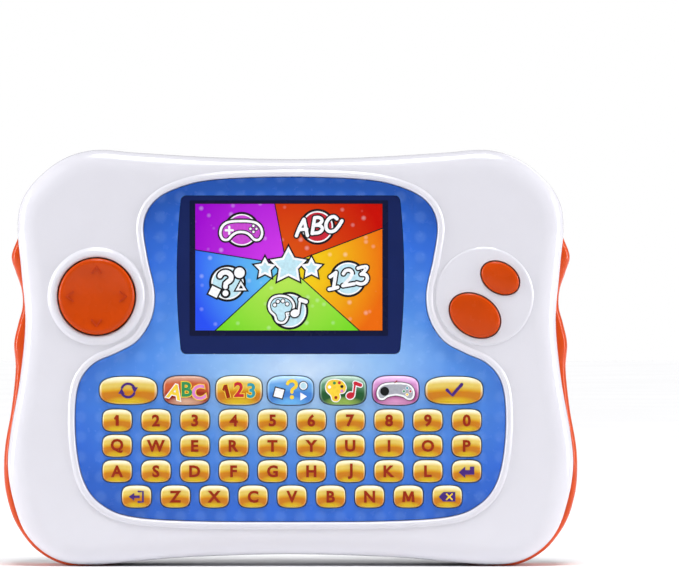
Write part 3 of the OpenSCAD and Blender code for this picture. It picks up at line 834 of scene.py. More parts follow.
LEFT, RIGHT = -38.3, 37.0
LOW, HIGH = 10.9, 62.0
PICTURE_CENTRE = (-1.6, 37.4)
PICTURE_DEPTH = 0.2
SURROUND_TOP = FASCIA_TOP + 0.02
LINE_TOP = FASCIA_TOP + 0.05
PICTURE_TOP = FASCIA_TOP + 0.08
SECTOR_GAP = 0.22
SECTOR_REACH = 42.0
SECTORS = [
    ("magenta", [(-6.3, HIGH), (LEFT, HIGH), (LEFT, 43.4)], (212, 60, 238), (164, 8, 214)),
    ("blue", [(LEFT, 43.4), (LEFT, LOW), (-30.3, LOW)], (110, 208, 250), (44, 84, 250)),
    ("green", [(-30.3, LOW), (27.8, LOW)], (190, 238, 90), (112, 222, 30)),
    ("orange", [(27.8, LOW), (RIGHT, LOW), (RIGHT, 52.1)], (254, 226, 30), (244, 112, 14)),
    ("red", [(RIGHT, 52.1), (RIGHT, HIGH), (-6.3, HIGH)], (226, 84, 20), (206, 16, 4)),
]


def deeper(colour):
    """Display colour, a little deeper to make up for the gloss over it."""
    return scaled(linear(*colour), 0.82)


def sector_material(name, near, far):
    """Part of the lit picture: paler towards the middle, with soft round bubbles."""
    m = Nodes("picture_" + name, 0.3, specular=0.06)
    outwards = m.times(m.distance(PICTURE_CENTRE), 1 / SECTOR_REACH)
    base = m.ramp(outwards, [(0.12, deeper(near)), (0.95, deeper(far))])
    bubbles = m.node("ShaderNodeTexVoronoi", {"Scale": 190, "Vector": m.coordinates()})
    pale = m.grey_ramp(bubbles.outputs["Distance"], [(0.06, 0.2), (0.22, 0.0)])
    m.colour(m.mix(pale, base, grey(1)))
    return m.material


def shrunk(points, distance):
    """Convex polygon moved inwards on every side."""
    area = sum(a[0] * b[1] - b[0] * a[1] for a, b in zip(points[-1:] + points, points))
    turn = -1 if area > 0 else 1
    lines = []
    for a, b in zip(points, points[1:] + points[:1]):
        along = (Vector(b) - Vector(a)).normalized()
        lines.append((Vector(a) + Vector((along.y, -along.x)) * turn * distance, along))
    result = []
    for (p, u), (q, v) in zip(lines[-1:] + lines, lines):
        t = ((q - p).x * v.y - (q - p).y * v.x) / (u.x * v.y - u.y * v.x)
        result.append(tuple(p + u * t))
    return result


def display():
    """Dark window with the lit picture in it: five coloured sectors on black, inside a navy surround."""
    shape = Shape()
    shape.plate([window_loop()], FASCIA_TOP - WINDOW_THICK, FASCIA_TOP)
    wide, high = RIGHT - LEFT, HIGH - LOW
    centre = ((LEFT + RIGHT) / 2, (LOW + HIGH) / 2)
    base = FASCIA_TOP - PICTURE_DEPTH
    surround = rounded_rect((centre[0], centre[1] - 0.4), (wide + 4.2, high + 3.2), 0.6)
    shape.plate([surround], base, SURROUND_TOP, 1)
    shape.plate([rounded_rect(centre, (wide, high), 0.2)], base, LINE_TOP, 2)
    materials = [navy, navy_line, inks[BLACK]]
    for name, sides, near, far in SECTORS:
        sector = shrunk([PICTURE_CENTRE] + sides, SECTOR_GAP)
        shape.plate([sector], base, PICTURE_TOP, len(materials))
        materials.append(sector_material(name, near, far))
    place(shape.object("display_window", materials), "tablet", "fascia_blue")


PRINT_LIFT = 0.001
PRINT_DEPTH = 0.15


class Icon:
    """Flat printed layers round a point. A higher level covers a lower, and no two lie level."""

    def __init__(self, shape, centre, base, step=0.02, first=0):
        self.shape = shape
        self.centre = centre
        self.base = base
        self.step = step
        self.first = first
        self.printed = 0

    def height(self, level):
        """Top of the next layer, a hair above those of the same level before it."""
        self.printed += 1
        return self.base + self.step * level + self.printed * PRINT_LIFT

    def layer(self, loop, ink, level):
        outline = shifted(loop, self.centre)
        self.shape.plate([outline], self.base - PRINT_DEPTH, self.height(level), self.first + ink)

    def layers(self, outline, *steps):
        """Layers of one outline. Each step has the outline's number, its ink and its level."""
        for number, ink, level in steps:
            self.layer(outline(number), ink, level)

    def discs(self, at, *steps):
        self.layers(lambda radius: circle(at, radius, 40), *steps)

    def badge(self, at, radii, ink):
        """Round ground of an icon: black rim, white ring and coloured middle."""
        self.discs(at, *zip(radii, (BLACK, CLEAR, ink), (1, 2, 3)))

    def stroke(self, points, width, ink, level):
        """Line of that width through some points, with round ends."""
        self.layer(stroke_loop(points, width), ink, level)

    def words(self, text, at, height, ink, level, bold, turn):
        where = (self.centre[0] + at[0], self.centre[1] + at[1])
        low = self.base - PRINT_DEPTH
        self.shape.text(text, where, height, low, self.height(level), self.first + ink, bold, turn)


def stroke_loop(points, width):
    """Outline of a line with round ends."""
    path = [Vector(p) for p in points]
    half = width / 2
    left, right = [], []
    for i, p in enumerate(path):
        along = (path[min(i + 1, len(path) - 1)] - path[max(i - 1, 0)]).normalized()
        side = Vector((-along.y, along.x)) * half
        left.append(tuple(p + side))
        right.append(tuple(p - side))
    ends = []
    for tip, towards in ((path[-1], path[-1] - path[-2]), (path[0], path[0] - path[1])):
        base = math.atan2(towards.y, towards.x) + math.pi / 2
        ends.append(corners(tip, half, [base - math.pi * k / 8 for k in range(1, 8)]))
    return left + ends[0] + right[::-1] + ends[1]


def star_loop(radius, inner):
    """Five-pointed star that stands on two points."""
    angles = [math.pi / 2 - math.pi * i / 5 for i in range(10)]
    tips, notches = corners((0, 0), radius, angles[::2]), corners((0, 0), inner, angles[1::2])
    return [point for pair in zip(tips, notches) for point in pair]


def gamepad_loop(scale, swell=0.0, fullness=0.0):
    """Handheld controller with two drooping grips, and a deeper middle with more fullness."""
    half = [(0, 3.1), (3.4, 3.0), (6.2, 2.3), (8.0, 0.6), (8.6, -2.0), (7.6, -4.2), (5.6, -4.4),
            (3.8, -2.6 - 0.5 * fullness), (2.0, -1.5 - fullness), (0, -1.2 - fullness)]
    return moved_out([(x * scale, y * scale) for x, y in smooth_loop(both_sides(half), 5)], swell)


def palette_loop(swell=0.0):
    points = [(-0.4, 4.6), (2.6, 3.8), (4.2, 1.4), (3.4, -1.0), (1.4, -1.6), (1.6, -3.4), (0.4, -5.0),
              (-1.6, -4.6), (-2.4, -2.4), (-4.2, -0.6), (-4.6, 1.8), (-3.2, 4.0)]
    return moved_out(smooth_loop(points, 4), swell)


def question_mark(icon, at, scale, width, ink, level):
    angles = [math.radians(a) for a in range(165, -61, -15)]
    hook = [(2.3 * math.cos(a), 2.2 + 2.0 * math.sin(a)) for a in angles] + [(0.1, -0.4), (0.0, -1.6)]
    icon.stroke([(at[0] + scale * x, at[1] + scale * y) for x, y in hook], width * scale, ink, level)
    icon.discs((at[0], at[1] - 4.2 * scale), (0.62 * width * scale, ink, level))


def note(icon, at, size, ink, level, swell=0.0):
    """Musical note: a head, a stem and a flag."""
    x, y = at
    icon.layer(ellipse((x, y), (1.7 * size + swell, 1.4 * size + swell), 0.3, 24), ink, level)
    stem = [(x + 1.3 * size, y), (x + 2.0 * size, y + 5.4 * size)]
    flag = [(x + 2.0 * size, y + 5.2 * size), (x + 4.2 * size, y + 4.4 * size)]
    icon.stroke(stem, 0.8 * size + 2 * swell, ink, level)
    icon.stroke(flag, 1.5 * size + 2 * swell, ink, level)


BRUSH_WIDTHS = ((2.5, BLACK), (1.35, CLEAR))
BRUSH_SIGNS = {
    "A": [[(-2.5, -3.3), (-1.2, 0.0), (0.5, 3.3)], [(0.5, 3.3), (1.2, 0.0), (1.9, -3.2)],
          [(-1.5, -0.9), (0.2, -0.7), (1.6, -0.6)]],
    "B": [[(-1.9, -3.2), (-1.4, 0.0), (-0.9, 3.1)],
          [(-0.9, 3.1), (0.9, 3.2), (2.0, 2.2), (1.2, 0.8), (-0.9, 0.1)],
          [(-0.9, 0.1), (1.2, 0.0), (2.2, -1.3), (1.0, -2.7), (-1.6, -3.1)]],
    "C": [[(2.2, 2.2), (1.0, 3.1), (-0.8, 2.4), (-2.1, 0.4), (-2.0, -1.8), (-0.6, -2.9), (1.4, -2.4),
           (3.0, -0.6), (4.2, 1.4)]],
    "1": [[(-1.6, 1.6), (-0.4, 2.4), (0.7, 3.3)], [(0.7, 3.3), (0.2, 0.0), (-0.3, -3.1)],
          [(-2.0, -3.4), (-0.3, -3.1), (1.4, -2.6)]],
    "2": [[(-1.9, 1.8), (-1.0, 3.0), (0.7, 3.2), (1.6, 2.0), (0.8, 0.2), (-0.8, -1.6), (-2.1, -3.0)],
          [(-2.1, -3.0), (0.2, -2.6), (2.4, -2.2)]],
    "3": [[(-1.6, 3.0), (0.2, 3.5), (1.9, 3.5), (1.0, 1.9), (-0.4, 0.6)],
          [(-0.4, 0.6), (1.4, 0.4), (2.1, -1.0), (1.4, -2.6), (-0.3, -3.3), (-2.2, -2.9)]],
}


def brushed_sign(icon, sign, at):
    """Letter or digit in white brush strokes with a black outline."""
    for level, (width, ink) in enumerate(BRUSH_WIDTHS, 4):
        for points in BRUSH_SIGNS[sign]:
            icon.stroke(shifted(smooth_path(points, 5), at), width, ink, level)


def picture_icons():
    """Icons of the five activities, and plain stars in the middle of the picture."""
    shape = Shape()

    game = Icon(shape, (-19.7, 51.8), PICTURE_TOP)
    game.badge((0.2, -0.4), (7.2, 6.3, 5.8), PLUM)
    game.layers(lambda swell: gamepad_loop(0.96, swell),
                (1.2, BLACK, 4), (0.6, CLEAR, 5), (-0.4, BLACK, 6), (-0.8, PLUM, 7))
    game.stroke([(-6.2, -0.6), (-3.4, -0.6)], 0.9, CLEAR, 8)
    game.stroke([(-4.8, 0.8), (-4.8, -2.0)], 0.9, CLEAR, 9)
    for at in ((4.9, 1.2), (6.1, 0), (4.9, -1.2), (3.7, 0)):
        game.discs(at, (0.8, BLACK, 8), (0.5, CLEAR, 9))

    letters = ("A", (-5.9, -0.3)), ("B", (-0.2, 0.5)), ("C", (5.6, 1.0))
    digits = ("1", (-5.6, -0.8)), ("2", (0.0, 0.2)), ("3", (5.6, 1.2))
    for centre, radii, ink, signs in (((10.8, 52.6), (7.2, 6.3, 5.7), CRIMSON, letters),
                                      ((23.1, 31.8), (7.4, 6.5, 5.9), PALE, digits)):
        icon = Icon(shape, centre, PICTURE_TOP)
        icon.badge((0, 0), radii, ink)
        for sign, at in signs:
            brushed_sign(icon, sign, at)

    paint = Icon(shape, (-3.4, 19.8), PICTURE_TOP)
    paint.badge((3.0, -0.8), (7.6, 6.7, 6.1), PALE)
    paint.layers(palette_loop, (1.6, BLACK, 4), (1.0, CLEAR, 5), (0.1, BLACK, 6), (-0.3, PALE, 7))
    for at in ((-2.9, 1.5), (-1.6, 2.9), (0.4, 3.1), (2.1, 1.9)):
        paint.discs(at, (1.0, BLACK, 8), (0.65, CLEAR, 9))
    note(paint, (5.2, -1.8), 1.05, BLACK, 10, 0.55)
    note(paint, (5.2, -1.8), 1.05, CLEAR, 11)

    quiz = Icon(shape, (-25.2, 30.0), PICTURE_TOP)
    quiz.badge((0, 0), (7.4, 6.5, 5.9), PALE)
    question_mark(quiz, (-0.8, 0.2), 1.0, 3.3, BLACK, 4)
    question_mark(quiz, (-0.8, 0.2), 1.0, 1.9, CLEAR, 5)
    quiz.discs((4.8, 4.2), (2.8, BLACK, 4), (2.1, CLEAR, 5))
    quiz.layers(lambda reach: corners((-5.2, -3.4), reach, (1.9, 0.33, -1.24, -2.81)),
                (3.5, BLACK, 4), (2.6, CLEAR, 5))
    quiz.layers(lambda reach: corners((5.4, -1.6), reach, (1.6, -0.5, -2.6)),
                (3.6, BLACK, 4), (2.5, CLEAR, 5), (1.0, BLACK, 6))

    stars = Icon(shape, (-0.8, 36.6), PICTURE_TOP)
    for x, y, size in ((0, 0.4, 7.4), (-9.4, -0.6, 4.2), (9.2, -0.6, 4.2)):
        stars.layers(lambda grow: shifted(star_loop(size + 1.6 * grow, 0.52 * size + 0.8 * grow), (x, y)),
                     (1.0, BLACK, 4), (0.2, CLEAR, 5), (-1.0, PALE, 6))
    place(shape.object("picture_icons", inks), "tablet", "fascia_blue")


# ---- Keys ----

ROUNDER = 0.12
CAP_RINGS = [(0.0, 35.2), (0.0, 39.05), (0.12, 39.4), (0.34, 39.66), (0.7, 39.88), (1.2, 40.06),
             (1.9, 40.2), (2.8, 40.3), (3.7, 40.36)]
LEGEND_TOP = KEY_TOP + 0.05
LEGEND_BASE = KEY_TOP - 0.5
LEGEND_HEIGHT = 4.4
LEGEND_BOLD = 0.036
SIGN_HEIGHT = 5.6
SIGN_BOLD = 0.03
SIGN_EDGE_BOLD = 0.07


def key_cap(shape, centre, size):
    """Pillowed cap with rounded shoulders."""
    def outline(inset):
        return squircle(centre, grown(size, -2 * inset), key_power(size) - ROUNDER * inset)
    rings = shape.tube(stack(outline, CAP_RINGS))
    shape.cap(rings[0])
    shape.fan(rings[-1], (*centre, KEY_TOP))


def arrow_loop(length, width, shaft):
    """Arrow that points left."""
    end = length / 2
    return [(-end, 0), (0, width / 2), (0, shaft / 2), (end, shaft / 2), (end, -shaft / 2),
            (0, -shaft / 2), (0, -width / 2)]


def repeat_legend(icon):
    """Two arrows that chase each other round a loop."""
    for turn in (0.0, math.pi):
        arc = corners((0, 0), 2.7, [turn + math.radians(a) for a in range(25, 156, 13)])
        icon.stroke(arc, 0.95, PURPLE, 2)
        tip = corners((0, 0), 2.7, [turn + math.radians(12)])[0]
        icon.layer(corners(tip, 1.5, [turn + a for a in (-1.6, 0.5, 2.6)]), PURPLE, 3)


def answer_legend(icon):
    icon.stroke([(-2.8, 0.2), (-0.8, -1.9), (3.0, 2.4)], 1.3, PURPLE, 2)


def escape_legend(icon):
    """Arrow that leaves a frame."""
    icon.stroke([(0.8, 2.1), (2.6, 2.1), (2.6, -2.1), (0.8, -2.1)], 0.75, PURPLE, 2)
    icon.centre = (icon.centre[0] - 0.9, icon.centre[1])
    icon.layer(arrow_loop(4.4, 3.0, 1.0), PURPLE, 3)


def enter_legend(icon):
    icon.layer([(-3.2, -0.4), (-0.6, 1.9), (-0.6, 0.5), (1.3, 0.5), (1.3, 1.9), (3.0, 1.9), (3.0, -1.3),
                (-0.6, -1.3), (-0.6, -2.7)], PURPLE, 2)


def backspace_legend(icon):
    icon.layer([(-3.4, 0), (-1.6, 1.9), (3.2, 1.9), (3.2, -1.9), (-1.6, -1.9)], PURPLE, 2)
    for level, slope in enumerate((1.1, -1.1), 3):
        icon.stroke([(-0.3, -slope), (1.9, slope)], 0.6, YELLOW, level)


def letters_legend(icon):
    three_signs(icon, (("A", (-4.6, -0.5), -0.25, YELLOW), ("B", (0.2, 0.5), 0.0, GREEN),
                       ("C", (4.9, -0.8), 0.2, PINK)))


def numbers_legend(icon):
    three_signs(icon, (("1", (-4.9, -0.4), 0.25, RED), ("2", (0.0, 0.4), 0.0, CRIMSON),
                       ("3", (4.9, 0.0), 0.0, TEAL)))


def three_signs(icon, signs):
    """Three fat signs, each with a pale edge."""
    for text, at, turn, ink in signs:
        edge = YELLOW if ink != YELLOW else CLEAR
        icon.words(text, at, SIGN_HEIGHT, edge, 2, SIGN_EDGE_BOLD, turn)
        icon.words(text, at, SIGN_HEIGHT, ink, 3, SIGN_BOLD, turn)


def question_legend(icon):
    """Question mark with a square, a disc and a triangle round it."""
    question_mark(icon, (0.6, 0.6), 0.78, 1.7, YELLOW, 2)
    icon.layers(lambda reach: corners((-4.6, -1.0), reach, (2.1, 0.53, -1.04, -2.61)),
                (3.1, BLACK, 2), (2.5, CLEAR, 3))
    icon.discs((5.2, 1.9), (1.9, BLACK, 2), (1.6, CLEAR, 3), (1.2, PALE, 4))
    icon.layer([(4.0, -0.8), (6.6, -2.4), (4.0, -4.0)], CLEAR, 3)


def colours_legend(icon):
    """Palette with dabs of paint, and a musical note."""
    middle = icon.centre
    icon.centre = (middle[0] - 2.6, middle[1] + 0.2)
    icon.layers(lambda swell: [(0.9 * x, 0.9 * y) for x, y in palette_loop(swell)],
                (0.4, CLEAR, 2), (0.0, YELLOW, 3))
    for x, y, ink in ((-2.8, 1.2, CLEAR), (-0.8, 2.8, GREEN), (1.2, 2.9, CRIMSON), (2.2, 1.4, BLACK),
                      (2.2, -0.4, PINK), (-0.2, -3.0, RED)):
        icon.discs((x, y), (0.62, ink, 4))
    icon.centre = middle
    note(icon, (3.0, -2.0), 0.95, CLEAR, 5, 0.4)
    note(icon, (3.0, -2.0), 0.95, CRIMSON, 6)


def games_legend(icon):
    """Controller with a stick and four coloured buttons."""
    icon.centre = (icon.centre[0], icon.centre[1] + 0.3)
    icon.layers(lambda swell: gamepad_loop(0.86, swell, 1.2),
                (0.5, BLACK, 2), (0.25, CLEAR, 3), (-0.5, GREY, 4))
    icon.discs((-4.4, -0.6), (1.8, BLACK, 5))
    for x, y, ink in ((4.6, 0.7, TEAL), (5.9, -0.6, CRIMSON), (4.6, -1.9, YELLOW), (3.3, -0.6, GREEN)):
        icon.discs((x, y), (0.66, CLEAR, 5), (0.46, ink, 6))
    icon.stroke([(-0.3, 2.8), (0.5, 3.6)], 0.35, RED, 5)


LEGENDS = {"repeat": repeat_legend, "answer": answer_legend, "escape": escape_legend,
           "enter": enter_legend, "backspace": backspace_legend, "letters": letters_legend,
           "numbers": numbers_legend, "question": question_legend, "colours": colours_legend,
           "games": games_legend}
CAP_SLOTS = {"letters": "key_red", "question": "key_blue", "colours": "key_green", "games": "key_pink"}


def keys():
    """One piece for each key: its cap with the legend on it."""
    for name, centre, size in all_keys():
        shape = Shape()
        key_cap(shape, centre, size)
        if name in LEGENDS:
            LEGENDS[name](Icon(shape, centre, LEGEND_TOP - 0.03, 0.015, 1))
        else:
            shape.text(name.upper(), centre, LEGEND_HEIGHT, LEGEND_BASE, LEGEND_TOP, 1 + RED, LEGEND_BOLD)
        slot = CAP_SLOTS.get(name, "key_amber")
        piece = shape.object("cap_" + name, [key_materials[slot]] + inks)
        place(piece, "key_" + name, slot, "key_" + name)


# ---- Direction pad and buttons ----

DPAD_PROFILE = [(0, 41.45), (5, 41.5), (9, 41.72), (11.6, 42.05), (12.9, 42.3),
                (13.7, CAD_HIGH[1] / MM * 2), (14.4, 42.28), (14.95, 41.85), (15.22, 41.2),
                (DPAD_RADIUS, 40.3), (DPAD_RADIUS, 39.4), (0, 39.4)]
MARK_LEVELS = (41.5, 42.3)
DPAD_MARK = [(-2.3, 9.2), (0, 12.4), (2.3, 9.2), (1.5, 9.2), (0, 11.3), (-1.5, 9.2)]
BUTTON_TOP = 42.0
BUTTON_RINGS = [(0.0, 36.0), (0.0, 40.9), (0.15, 41.25), (0.5, 41.55), (1.1, 41.75), (2.0, 41.9),
                (3.2, 41.98)]


def dpad():
    """Dished disc with four pressed marks."""
    shape = Shape()
    shape.lathe(DPAD, DPAD_PROFILE)
    for quarter in range(4):
        mark = [turned(x, y, quarter * math.pi / 2) for x, y in DPAD_MARK]
        shape.plate([shifted(mark, DPAD)], *MARK_LEVELS, 1)
    piece = shape.object("dpad_disc", [button_orange, button_mark])
    soften(piece, 0.12)
    place(piece, "dpad", "button_orange", "dpad")


def soften(piece, width):
    """Rounds the sharp edges of a piece."""
    bevel = piece.modifiers.new("rounded", "BEVEL")
    bevel.width = width * MM
    bevel.segments = 2
    bevel.angle_limit = math.radians(40)


def oval_buttons():
    for name, (centre, size) in BUTTONS.items():
        shape = Shape()
        rings = shape.tube(stack(lambda inset: ellipse(centre, grown(size, -inset), BUTTON_TILT),
                                 BUTTON_RINGS))
        shape.cap(rings[0])
        shape.fan(rings[-1], (*centre, BUTTON_TOP))
        place(shape.object(name + "_cap", [button_orange]), name, "button_orange", name)


# ---- Rear ----

WELL_PROFILE = [(WELL_RADIUS + WELL_ROUND, BACK), (WELL_RADIUS + 0.1, BACK + 0.15),
                (WELL_RADIUS, BACK + 0.4), (WELL_RADIUS, WELL_FLOOR)]
SLOT_PROFILE = [(0.35, 0.0), (0.1, 0.12), (0.0, 0.35), (0.0, 2.4)]
DOORWAY_PROFILE = [(0.5, 0.0), (0.15, 0.15), (0.0, 0.5), (0.0, 2.4)]
DOORWAY_CORNER = 0.6
DOOR_CORNER = 0.7
DOOR_GAP = 0.7
HINGE_GAP = 0.5
DOOR_RIM = [(0.0, 2.0), (0.0, 0.35), (0.12, 0.1), (0.35, 0.0)]
SCREW_SEAT = [(3.6, 0.0), (3.3, 0.1), (2.75, 0.45), (2.6, 2.0)]
SCREW_HEAD = [(2.35, 1.2), (2.35, 0.75), (2.2, 0.5), (1.8, 0.36)]
SCREW_SLOT = [(0.28, 0.28), (1.35, 0.28), (1.35, -0.28)]
SLOT_DEPTH = 0.64
RIDGE_SIZE = (24, 1.5)
RIDGE_PROFILE = [(0.0, 0.3), (0.0, -0.15), (0.1, -0.32), (0.3, -0.42)]
GRILLE_PITCH = 5.86
SCOOP_HALF = 60
PORT_RADII = ((AV_X, 3.5), (DC_X, 4.8))
SWITCH_OPENING = [(-5, -1.9), (5, -1.9), (5, 1.9), (-5, 1.9)]
PORT_CUT = (66, 90)


def grille_slots():
    """Centres and sizes of the loudspeaker's slots."""
    columns = [(0, 5, (5.2, 2.6)), (6.6, 4, (4.4, 2.2)), (-6.6, 4, (4.4, 2.2)), (11.6, 3, (3.4, 1.6)),
               (-11.6, 3, (3.4, 1.6))]
    return [((GRILLE_CENTRE[0] + x, GRILLE_CENTRE[1] + (i - (count - 1) / 2) * GRILLE_PITCH), size)
            for x, count, size in columns for i in range(count)]


def scoop_limit(x):
    return SCOOP_FLOOR + SCOOP_RADIUS - math.sqrt(SCOOP_RADIUS ** 2 - x * x)


def scooped(loop):
    """Loop with the shallow arc taken out of its top edge."""
    return [(x, min(y, scoop_limit(x)) if abs(x) < SCOOP_HALF < y else y, z) for x, y, z in loop]


def foot_profile(radius):
    """Radius and level up the side of a foot, which is the cap of a ball."""
    ball = (radius * radius + BACK * BACK) / (2 * BACK)
    radii = [radius * math.cos(math.radians(90 * i / 13)) for i in range(13)]
    return [(r, max(ball - math.sqrt(ball * ball - r * r), 0.0)) for r in radii]


def rear_shell():
    """Rear half with its scooped top edge, feet, screw wells, loudspeaker slots and doorway."""
    shape = Shape()
    loops = side_loops(-1, roll_widths(room_to_wells), BACK)
    above = [loop for loop in loops if loop[0][2] > SCOOP_SHELF]
    below = [loop for loop in loops if loop[0][2] <= SCOOP_SHELF]
    shelf = [(x, y, SCOOP_SHELF) for x, y, _ in above[-1]]
    edge = shape.tube(above + [shelf] + [scooped(loop) for loop in [shelf] + below])[-1]
    holes = []
    rounds = [(x, y, foot_profile(radius), 72) for x, y, radius in (BIG_FOOT, SMALL_FOOT)]
    rounds += [(x, y, WELL_PROFILE, 32) for x, y in WELLS]
    for x, y, profile, count in rounds:
        for side in (-1, 1):
            rings = shape.round_tube((side * x, y), profile, count=count)
            shape.cap(rings[-1])
            holes.append(rings[0])
    for centre, size in grille_slots():
        holes.append(shape.tube(stack(lambda out: pill(centre, grown(size, out)), SLOT_PROFILE, BACK))[0])
    middle = (0, (DOOR_LOW + DOOR_HIGH) / 2)
    doorway = (2 * DOOR_X, DOOR_HIGH - DOOR_LOW)
    opening = stack(lambda out: rounded_rect(middle, grown(doorway, out), DOORWAY_CORNER), DOORWAY_PROFILE,
                    BACK)
    holes.append(shape.tube(opening)[0])
    shape.cap_with_holes(edge, holes)
    piece = shape.object("rear_shell_white", [white], weld=True)
    thicken(piece)
    cut_ports(piece)
    flatten_shading(piece)
    place(piece, "tablet", "rear_white", "rear_shell")


def cut_ports(piece):
    """Cuts the openings for both sockets and the switch through the scoop's wall."""
    shape = Shape()
    outlines = [circle((x, PORT_LEVEL), radius, 40) for x, radius in PORT_RADII]
    outlines.append(shifted(SWITCH_OPENING, (0, PORT_LEVEL)))
    for outline in outlines:
        shape.loft([[(x, y, z) for x, z in outline] for y in PORT_CUT])
    cutter = shape.object("port_cutter", [white])
    cut = piece.modifiers.new("ports", "BOOLEAN")
    cut.operation = "DIFFERENCE"
    cut.solver = "EXACT"
    cut.object = cutter
    apply_modifiers(piece)
    bpy.data.objects.remove(cutter)


def battery_door():
    """Door with a bevelled rim, a row of fine ridges to push on, a dished screw seat and its hinge."""
    shape = Shape()
    middle = (0, (DOOR_EDGES[0] + DOOR_EDGES[1]) / 2)
    size = (2 * DOOR_X - DOOR_GAP, DOOR_EDGES[1] - DOOR_EDGES[0])
    rim = shape.tube(stack(lambda inset: rounded_rect(middle, grown(size, -2 * inset), DOOR_CORNER),
                           DOOR_RIM, BACK))
    seat = shape.round_tube(DOOR_SCREW, SCREW_SEAT, BACK, 40)
    shape.cap_with_holes(rim[-1], [seat[0]])
    shape.cap_with_holes(rim[0], [seat[-1]])
    for i in range(RIDGES):
        at = (0, RIDGE_START - i * RIDGE_PITCH)
        shape.loft(stack(lambda inset: pill(at, grown(RIDGE_SIZE, -2 * inset)), RIDGE_PROFILE, BACK))
    barrel = circle(DOOR_HINGE, HINGE_RADIUS, 32)
    shape.loft([[(x, y, z) for y, z in barrel] for x in (HINGE_GAP - DOOR_X, DOOR_X - HINGE_GAP)])
    panel = shape.object("door_panel", [white])
    flatten_shading(panel)
    place(panel, "battery_door", "door_white", "battery_door")


def door_screw():
    """Head of the door's screw, with a cross recess."""
    shape = Shape()
    head = shape.round_tube(DOOR_SCREW, SCREW_HEAD, BACK, 48)
    cross = [turned(x, y, -quarter * math.pi / 2) for quarter in range(4) for x, y in SCREW_SLOT]
    top = SCREW_HEAD[-1][1]
    walls = shape.tube([at_level(shifted(cross, DOOR_SCREW), BACK + z) for z in (top, top + SLOT_DEPTH)])
    shape.cap(walls[1])
    shape.cap_with_holes(head[-1], [walls[0]])
    shape.cap(head[0])
    place(shape.object("door_screw_head", [screw_black], 25), "battery_door", "screws")


# ---- Finishes of the CAD nodes that stay ----

BOARD_LEVEL = 24
CELL_BAND_START = 0.7


def electronics_material():
    """Green boards towards the face, black sockets and loudspeaker towards the rear."""
    m = Nodes("boards_and_sockets", 0.45, coat=0.2)
    _, depth, _ = m.axes()
    rear = m.math("GREATER_THAN", depth, row(0, 0, BOARD_LEVEL).y)
    m.colour(m.mix(rear, m.speckled(240, 4, (16, 78, 40), (30, 108, 58)),
                   m.speckled(500, 3, (18, 18, 20), (34, 34, 38))))
    m.bump(m.noise(900, 3), 0.3, 0.00003)
    return m.material


def cell_material():
    """Plain green jackets with a pale band round the upper part of every cell."""
    m = Nodes("cell_jackets", 0.3, coat=0.4)
    low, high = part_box("batteries")
    _, _, up = m.axes()
    band = m.math("GREATER_THAN", up, low[2] + CELL_BAND_START * (high[2] - low[2]))
    m.colour(m.mix(band, m.speckled(300, 3, (44, 104, 84), (58, 120, 98)),
                   m.speckled(300, 3, (196, 198, 200), (210, 212, 214))))
    m.bump(m.noise(1200, 2), 0.2, 0.00001)
    return m.material


def finish_node(name, material):
    """Gives a CAD node its finished material."""
    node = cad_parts[name]
    for slot in node.material_slots:
        slot.material = material


# ---- Stage, light and camera ----

PICTURE_WIDTH = 679
MM_PER_PIXEL = 0.4
AIM = (19.64, 26.3)
CAMERA_DISTANCE = 2.0
SKY_LIGHT = 0.3
SKY_SEEN = 1.0
STRIP_SIZE = (0.3, 0.8)
STRIP_TARGET = (0, 0, 0.085)
FLOOR_SIZE = 12.0
SENSOR = 36.0


def stage():
    bpy.ops.mesh.primitive_plane_add(size=FLOOR_SIZE, location=(0, 0, CAD_LOW[2]))
    floor = bpy.context.object
    floor.name = "floor"
    m = Nodes("pale_floor", 1.0, specular=0.0)
    m.colour(m.ramp(m.noise(6, 2), [(0.4, (0.94, 0.94, 0.95, 1)), (0.6, (0.96, 0.96, 0.97, 1))]))
    floor.data.materials.append(m.material)


def aimed(name, light, place_at, target):
    lamp = bpy.data.objects.new(name, light)
    lamp.location = place_at
    lamp.rotation_euler = (Vector(target) - Vector(place_at)).to_track_quat("-Z", "Y").to_euler()
    bpy.context.scene.collection.objects.link(lamp)


def soft_sun(name, direction, strength, spread):
    """Even light from one side, with shadows as soft as its spread in degrees."""
    light = bpy.data.lights.new(name, "SUN")
    light.energy = strength
    light.angle = math.radians(spread)
    aimed(name, light, direction, (0, 0, 0))


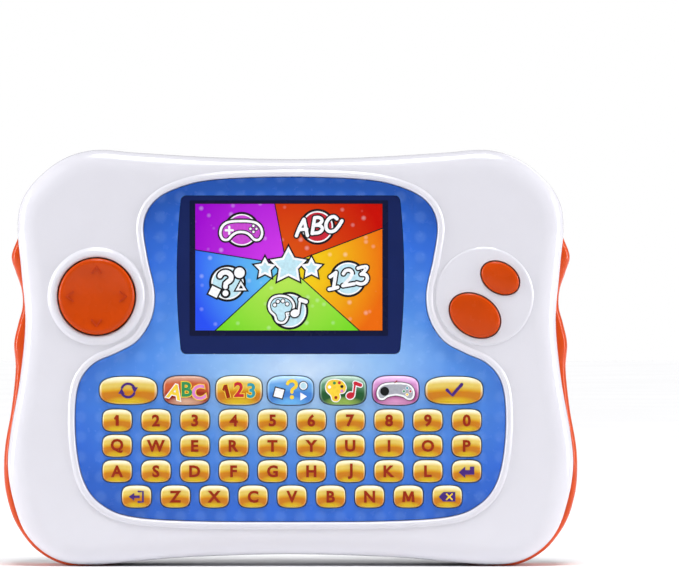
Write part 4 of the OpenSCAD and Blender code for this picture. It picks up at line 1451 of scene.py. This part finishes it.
def softbox(name, place_at, energy):
    light = bpy.data.lights.new(name, "AREA")
    light.shape = "RECTANGLE"
    light.size, light.size_y = STRIP_SIZE
    light.energy = energy
    aimed(name, light, place_at, STRIP_TARGET)


def lights():
    """Even white sky, which the camera sees brighter than it shines, with soft suns and side strips."""
    world = bpy.data.worlds.new("studio")
    world.use_nodes = True
    tree = world.node_tree
    seen = add_node(tree, "ShaderNodeLightPath", {}).outputs["Is Camera Ray"]
    skies = [add_node(tree, "ShaderNodeBackground", {"Color": grey(1), "Strength": strength}).outputs[0]
             for strength in (SKY_LIGHT, SKY_SEEN)]
    mixed = add_node(tree, "ShaderNodeMixShader", {0: seen, 1: skies[0], 2: skies[1]})
    tree.links.new(mixed.outputs[0], tree.nodes["World Output"].inputs["Surface"])
    bpy.context.scene.world = world
    soft_sun("overhead", (0.05, -0.3, 1.0), 2.2, 25)
    soft_sun("front_left", (-0.7, -0.7, 0.65), 0.1, 25)
    soft_sun("back_right", (0.5, 0.8, 0.7), 0.25, 30)
    softbox("strip_left", (-1.2, -0.22, 0.3), 10)
    softbox("strip_right", (1.2, -0.22, 0.3), 9)


def camera():
    data = bpy.data.cameras.new("camera")
    data.sensor_width = SENSOR
    data.lens = SENSOR * CAMERA_DISTANCE / (PICTURE_WIDTH * MM_PER_PIXEL * MM)
    data.clip_end = 50
    shot = bpy.data.objects.new("camera", data)
    aim = row(AIM[0], AIM[1], FACE)
    shot.location = aim + Vector((0, -CAMERA_DISTANCE, 0))
    shot.rotation_euler = (math.pi / 2, 0, 0)
    bpy.context.scene.collection.objects.link(shot)
    bpy.context.scene.camera = shot
    bpy.context.scene.view_settings.view_transform = "Standard"


camera()
lights()
stage()
front_shell()
rear_shell()
side_grips()
fascia()
display()
picture_icons()
keys()
dpad()
oval_buttons()
battery_door()
door_screw()
finish_node("key_mat", rubber)
finish_node("electronics", electronics_material())
finish_node("batteries", cell_material())
finish_node("case_screws", screw_black)
finish_node("dpad_pivot", grey_plastic)
finish_node("power_slider", black_plastic)
